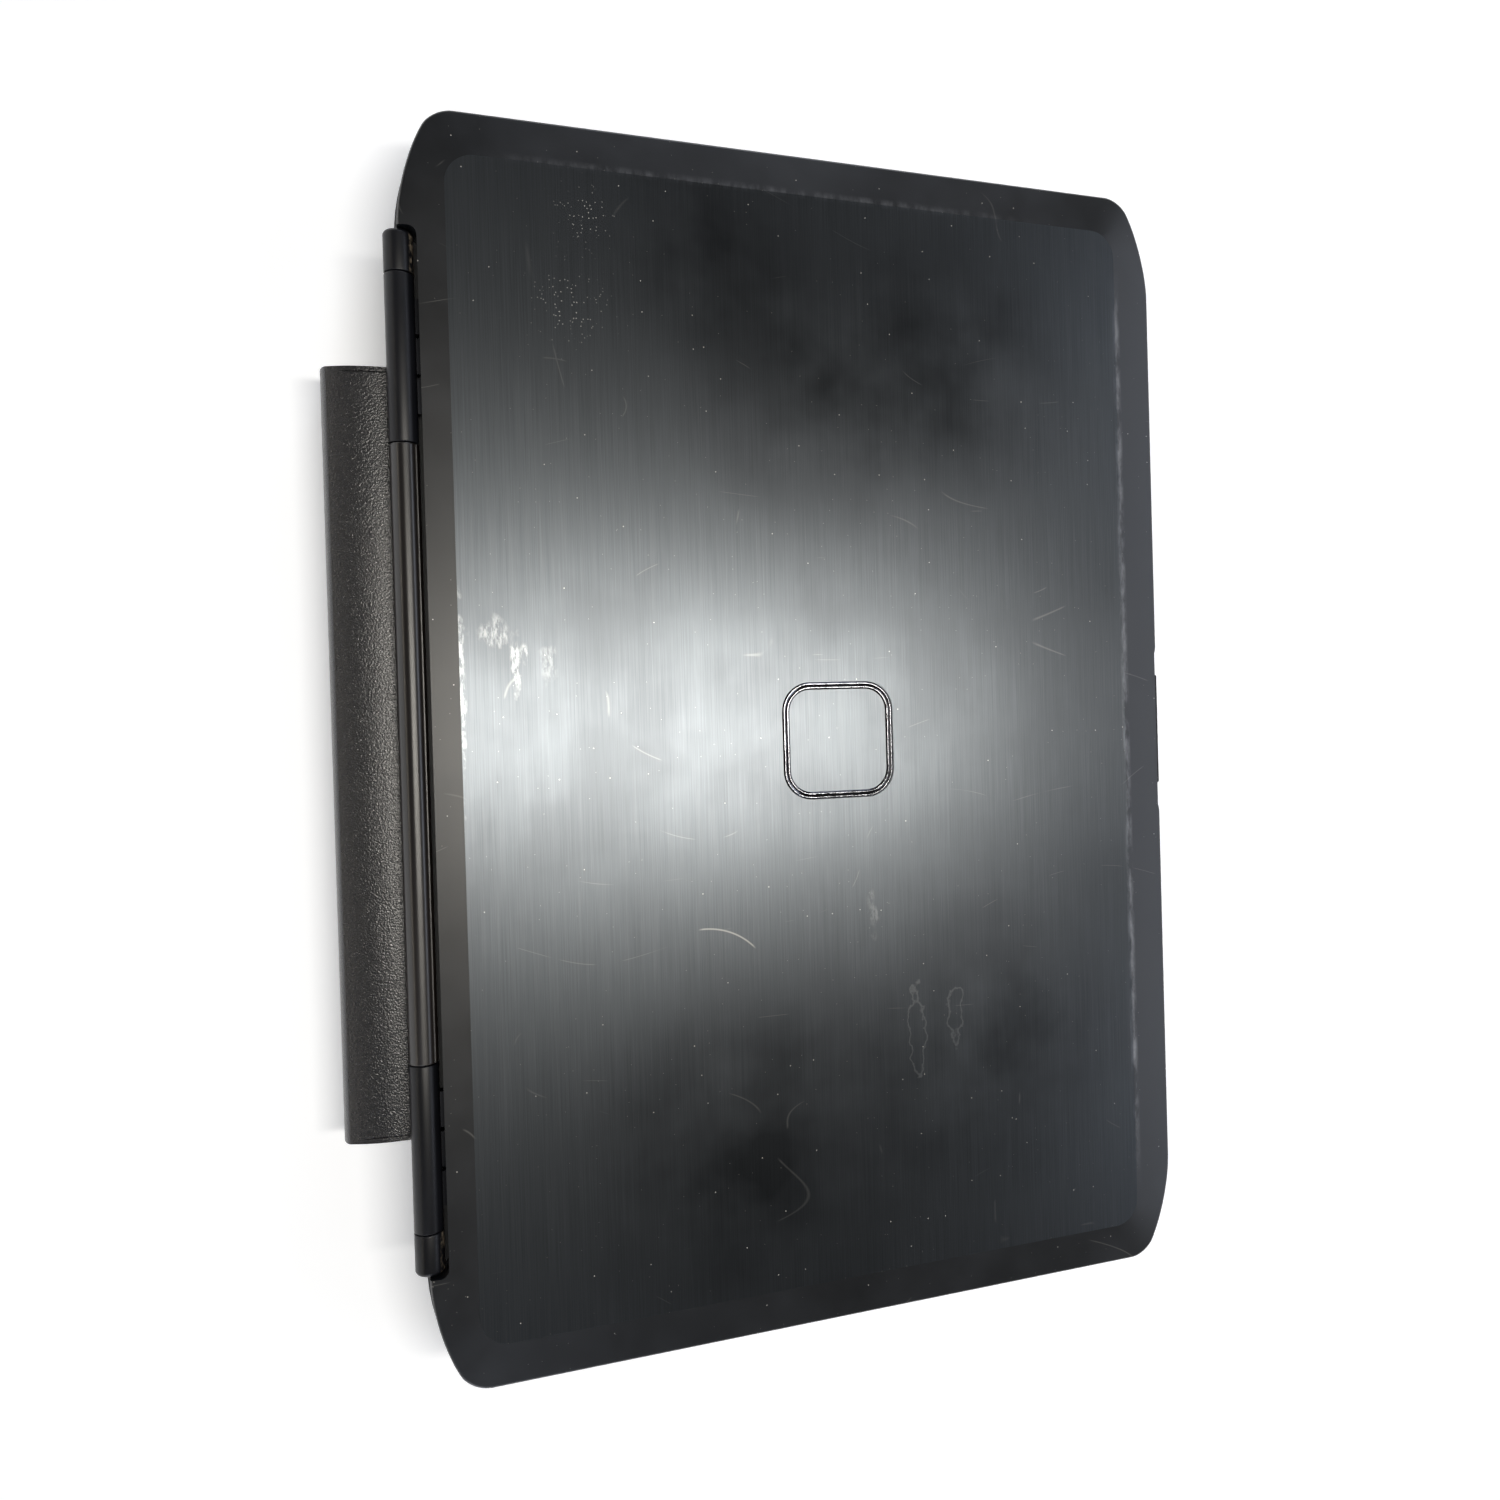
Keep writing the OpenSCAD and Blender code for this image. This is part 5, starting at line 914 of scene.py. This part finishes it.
# %% Brushed plate
floor_gap = 0.02 * mm
badge_play = Vector((0.1, 0.1, 0)) * mm
mark_low, mark_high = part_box("lid_mark")
badge_corner = (mark_high.x - mark_low.x) / 4
plate = round_sheet("brushed_lid_plate", skin_low, skin_high, skin_low.z + floor_gap,
                    plate_corner, 12)
bpy.ops.mesh.select_all(action="SELECT")
raise_up(plate_thick - floor_gap)
finish_mesh(plate)
pocket = round_sheet("badge_pocket", mark_low - badge_play, mark_high + badge_play, mark_low.z,
                     badge_corner, 12)
bpy.ops.mesh.select_all(action="SELECT")
raise_up(mm)
finish_mesh(pocket)
combine("DIFFERENCE", plate, pocket)
bpy.ops.object.shade_smooth_by_angle(angle=math.radians(30))
hand_over(plate, brushed, "brushed_skin", "lid", "lid_skin")

# %% [markdown]
# ## Badge
# The badge is a plain rim pressed from plated metal round a field that is brushed like the
# plate. A wire along a path would be as round as a wire, and a pressed rim has beads instead,
# so a round sheet is inset in steps that rise and fall, which gives two beads side by side.

# %% Badge
bead_steps = (  # width of each inset, then its rise, in mm
    (0.5, 0.26), (0.15, 0), (0.45, -0.18), (0.45, 0.18), (0.15, 0), (0.5, -0.26))
badge = round_sheet("badge_rim", mark_low, mark_high, mark_low.z + 0.03 * mm, badge_corner, 12)
for width, rise in bead_steps:
    bpy.ops.mesh.inset(thickness=width * mm)
    bpy.ops.transform.translate(value=(0, 0, rise * mm))
bpy.ops.mesh.delete(type="FACE")
bpy.ops.mesh.select_all(action="SELECT")
raise_up(-0.02 * mm)
finish_mesh(badge)
bpy.ops.object.shade_smooth_by_angle(angle=math.radians(15))
hand_over(badge, mark_chrome, "polished_mark", "lid", "lid_mark")

# %% [markdown]
# ## Barrel of the hinge
# The barrel is five turned and moulded lengths on one axis: a long middle cover and two end
# caps on the base, and two sleeves on the lid between them. Each is a cylinder whose end rims
# are rounded, so that the joints show as fine bright lines. A web below carries the cover and
# the caps on the deck.

# %% Lengths and webs
quarter_turn = math.radians(90)


def barrel_length(name, x0, x1, rim0, rim1):
    """A length of the barrel with a round rim of its own size at each end."""
    length = start(name, bpy.ops.mesh.primitive_cylinder_add, vertices=72, radius=barrel_r,
                   depth=x1 - x0, location=((x0 + x1) / 2, barrel_y, barrel_z),
                   rotation=(0, quarter_turn, 0), end_fill_type="NGON")
    for x, rim in ((x0, rim0), (x1, rim1)):
        pick(length, "EDGE", lambda e: ends_at(e, 0, x))
        bpy.ops.mesh.bevel(offset=rim, segments=8 if rim > mm else 4, affect="EDGES")
    finish_mesh(length)
    return length


def web_under(x0, x1):
    """The web that carries a length of the barrel on the deck behind the lid."""
    web = start_box("web", (x0, barrel_y - 3 * mm, lid_bottom - 0.8 * mm),
                    (x1, barrel_y + 0.8 * mm, barrel_z))
    finish_mesh(web)
    return web


print("barrel radius in mm:", round(barrel_r / mm, 2))

# %% [markdown]
# ## Middle cover
# The longest length has a straight lip on its front side, beside the lid, which catches the
# light as a second line. It could be part of the cylinder's own outline, but a bar whose upper
# edges are rounded and that is welded on gives the same step with less work.

# %% Middle cover
cover_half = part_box("hinge_cover")[1].x
web_inset = 0.3 * mm
lip_height = 2.75 * mm

cover = barrel_length("barrel_cover", -cover_half, cover_half, 0.35 * mm, 0.35 * mm)
lip = start_box("lip", (-cover_half + web_inset, barrel_y - 3.3 * mm, barrel_z),
                (cover_half - web_inset, barrel_y - 2.6 * mm, barrel_z + lip_height))
pick(lip, "EDGE", lambda e: ends_at(e, 2, barrel_z + lip_height))
bpy.ops.mesh.bevel(offset=0.24 * mm, segments=4, affect="EDGES")
finish_mesh(lip)
combine("UNION", cover, web_under(-cover_half + web_inset, cover_half - web_inset), lip)
bpy.ops.object.shade_smooth_by_angle(angle=math.radians(30))
hand_over(cover, gloss_cover, "barrel_plastic", "base", "hinge_cover")

# %% [markdown]
# ## Sleeves and end caps
# Both sides of the barrel are alike, so one sleeve and one cap are modelled at the right, and
# copies of their meshes are mirrored to the left. A mirror turns a mesh inside out, so the
# faces of the copy are turned outwards again.

# %% Sleeves and end caps
sleeve_in = cover_half + 0.25 * mm
sleeve_out = -sleeves_low.x
cap_in = sleeve_out + 0.3 * mm
cap_out = -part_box("hinge_caps")[0].x
thin_rim = 0.3 * mm
cap_rim = 1.3 * mm


def mirrored(piece, name):
    """A copy with its own mesh, mirrored to the other side of the laptop's middle."""
    only(piece)
    bpy.ops.object.duplicate()
    copy = bpy.context.object
    copy.name = copy.data.name = name
    bpy.ops.object.mode_set(mode="EDIT")
    bpy.ops.mesh.select_all(action="SELECT")
    bpy.ops.transform.resize(value=(-1, 1, 1), center_override=(0, 0, 0))
    bpy.ops.mesh.normals_make_consistent(inside=False)
    bpy.ops.object.mode_set(mode="OBJECT")
    return copy


sleeve = barrel_length("barrel_sleeve_right", sleeve_in, sleeve_out, thin_rim, thin_rim)
bpy.ops.object.shade_smooth_by_angle(angle=math.radians(30))
cap = barrel_length("barrel_cap_right", cap_in, cap_out, thin_rim, cap_rim)
combine("UNION", cap, web_under(cap_in + web_inset, cap_out - 3 * mm))
bpy.ops.object.shade_smooth_by_angle(angle=math.radians(30))
hand_over(mirrored(sleeve, "barrel_sleeve_left"), satin_abs, "sleeve_plastic", "lid")
hand_over(mirrored(cap, "barrel_cap_left"), satin_abs, "sleeve_plastic", "base")
hand_over(sleeve, satin_abs, "sleeve_plastic", "lid", "hinge_sleeves")
hand_over(cap, satin_abs, "sleeve_plastic", "base", "hinge_caps")

# %% [markdown]
# ## Battery
# The battery fills a bay under the keyboard and stands out behind the hinge. Its outer part
# has a low crown and a round back edge, so a box is divided across, its top points are lowered
# to an arc of 34 mm radius, and its long edges are bevelled. The tongue in the bay is welded on.

# %% Battery body
pack_low, pack_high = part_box("battery_pack")
case_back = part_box("bottom_case")[1].y
outer_y = case_back + 0.6 * mm
crown_y = case_back + 5 * mm
crown_radius = 34 * mm
upper_half = 15 * mm
tongue_top = 15 * mm

pack = start_box("battery_shell", (pack_low.x, outer_y, pack_low.z), pack_high)
for step in range(1, 10):
    bpy.ops.mesh.select_all(action="SELECT")
    level = outer_y + (pack_high.y - outer_y) * step / 10
    bpy.ops.mesh.bisect(plane_co=(0, level, 0), plane_no=(0, 1, 0))
pick(pack, "VERT", lambda v: near(v.co.z, pack_high.z))
mesh = bmesh.from_edit_mesh(pack.data)
for vert in [v for v in mesh.verts if v.select]:
    across = vert.co.y - crown_y
    vert.co.z -= crown_radius - math.sqrt(crown_radius ** 2 - across ** 2)
bmesh.update_edit_mesh(pack.data)

pick(pack, "EDGE", lambda e: (ends_at(e, 1, pack_high.y)
                              and all(v.co.z > upper_half for v in e.verts)))
bpy.ops.mesh.bevel(offset=5 * mm, segments=10, affect="EDGES")
pick(pack, "EDGE", lambda e: ends_at(e, 1, pack_high.y) and ends_at(e, 2, pack_low.z))
bpy.ops.mesh.bevel(offset=3 * mm, segments=6, affect="EDGES")
pick(pack, "EDGE", lambda e: (ends_at(e, 1, outer_y)
                              and all(v.co.z > upper_half for v in e.verts)
                              and abs(e.verts[0].co.x - e.verts[1].co.x) > mm))
bpy.ops.mesh.bevel(offset=1.2 * mm, segments=4, affect="EDGES")
finish_mesh(pack)

tongue = start_box("tongue", pack_low, (pack_high.x, outer_y + mm, tongue_top))
finish_mesh(tongue)
combine("UNION", pack, tongue)
print("battery before its seams:", len(pack.data.polygons), "faces")

# %% [markdown]
# ## Seams of the battery
# The battery's end caps are separate mouldings, which shows as a fine seam near each end. Each
# seam is cut with a thin slab. The slab first loses its core, so that it cuts a groove 0.5 mm
# deep at the back, and about 1.6 mm deep at the top, and doesn't cut the end off.

# %% Seams of the battery
seam_from_end = 1.4 * mm
seam_half = 0.12 * mm
seam_start = outer_y + 0.4 * mm
groove = 0.5 * mm
top_groove = 1.6 * mm
seams = []
for turn in (-1, 1):
    at = turn * (pack_high.x - seam_from_end)
    seam = start_box("seam", (at - seam_half, seam_start, 0),
                     (at + seam_half, pack_high.y + mm, 40 * mm))
    finish_mesh(seam)
    seams.append(seam)
core = start_box("core", (-pack_high.x, seam_start, pack_low.z + groove),
                 (pack_high.x, pack_high.y - groove, pack_high.z - top_groove))
finish_mesh(core)
for seam in seams:
    modify(seam, "BOOLEAN", operation="DIFFERENCE", object=core, solver="MANIFOLD")
bpy.data.objects.remove(core)
combine("DIFFERENCE", pack, *seams)
soften(pack, 0.3 * mm)
hand_over(pack, battery_skin, "battery_plastic", "battery", "battery_pack")

# %% [markdown]
# ## Floor
# The table is plain and nearly white. It would turn grey away from the lamps, so it also glows
# a little, and more with distance. The glow is there only for rays that show a background,
# straight or in gloss and glass. It lights no dull surface and leaves the laptop's soft shadow.

# %% Floor
bpy.ops.object.select_all(action="DESELECT")
bpy.ops.mesh.primitive_plane_add(size=6, location=(0, 0, 0))
floor = bpy.context.object
floor.name = "floor"


def seen_rays(tree):
    """1 for a ray that shows the background, straight or in metal or glass, 0 for the rest."""
    rays = add_node(tree, "LightPath").outputs
    direct = add_node(tree, "Math", (rays["Is Camera Ray"], rays["Is Glossy Ray"]),
                      operation="ADD")
    return add_node(tree, "Math", (direct, rays["Is Transmission Ray"]), operation="ADD")


floor_finish, tree, place = new_finish("white table top")
from_middle = add_node(tree, "VectorMath", (place,), operation="LENGTH")
glow = add_node(tree, "MapRange", (from_middle, 0.35, 1.4, 0.26, 0.95))
glow = add_node(tree, "Math", (seen_rays(tree), glow), operation="MULTIPLY")
shader = add_node(tree, "BsdfPrincipled", {
    "Base Color": "#f3f6fc", "Roughness": 0.9, "Specular IOR Level": 0.0,
    "Emission Color": "#ffffff", "Emission Strength": glow})
add_node(tree, "OutputMaterial", {"Surface": shader})
floor.data.materials.append(floor_finish)
print("made:", floor.name, "of", floor_finish.name)

# %% [markdown]
# ## Lamps
# A long narrow strip hangs a metre over the front edge of the lid. The brushed plate turns it
# into its streak: the strip's small width keeps the streak narrow along X, and its length along
# Y carries the streak across the plate. A wide strip in front and one behind, about 40 degrees
# up, light the sloping borders and the barrel, and a weak soft box at each side lights the
# upright faces.

# %% Lamps
def soft_lamp(name, at, target, width, height, power, tint):
    """A rectangular lamp at a place, turned to a target; sizes in metres, power in watts."""
    lamp = bpy.data.lights.new(name, "AREA")
    lamp.shape = "RECTANGLE"
    lamp.size = width
    lamp.size_y = height
    lamp.energy = power
    lamp.color = paint(tint)[:3]
    holder = bpy.data.objects.new(name, lamp)
    bpy.context.scene.collection.objects.link(holder)
    holder.location = at
    holder.rotation_euler = (Vector(target) - Vector(at)).to_track_quat("-Z", "Y").to_euler()


soft_lamp("ceiling strip", (0.002, -0.125, 1.03), (0.002, -0.125, 0), 0.09, 0.65, 8.3, "#fffaf0")
soft_lamp("front strip", (0.0, -1.25, 1.0), (0, -0.1, 0), 1.8, 0.16, 4.6, "#e6eeff")
soft_lamp("back strip", (0.0, 1.3, 0.9), (0, 0.1, 0), 1.8, 0.08, 2.2, "#fff4e0")
soft_lamp("left softbox", (-1.2, 0.3, 0.6), (0, 0, 0), 0.6, 0.6, 2.5, "#e9f0ff")
soft_lamp("right softbox", (1.2, -0.3, 0.6), (0, 0, 0), 0.6, 0.6, 2.5, "#e9f0ff")
print("lamps:", len(bpy.data.lights))

# %% [markdown]
# ## World
# The world is a pale room whose light comes from near the horizon and fades overhead, so that
# the lid's top stays dark between the lamps. What is seen of it, straight or in gloss, is
# white up to about 22 degrees above the horizon and dark from 30 degrees, so that the table
# has no edge and a flat glossy face that is seen from above still looks dark.

# %% World
overhead = 0.035
world = bpy.data.worlds.new("pale room")
bpy.context.scene.world = world
world.use_nodes = True
tree = world.node_tree
tree.nodes.clear()
height = add_node(tree, "SeparateXYZ", (add_node(tree, "TexCoord").outputs["Generated"],))
height = height.outputs["Z"]
room = add_node(tree, "Background", {
    "Color": "#f4f8ff",
    "Strength": add_node(tree, "MapRange", (height, 0.0, 0.22, 1.0, overhead))})
seen = add_node(tree, "Background", {
    "Color": "#ffffff",
    "Strength": add_node(tree, "MapRange", (height, 0.38, 0.5, 1.0, overhead))})
both = add_node(tree, "MixShader", (seen_rays(tree), room, seen))
add_node(tree, "OutputWorld", {"Surface": both})
bpy.context.scene.view_settings.view_transform = "Standard"
print("made:", world.name)
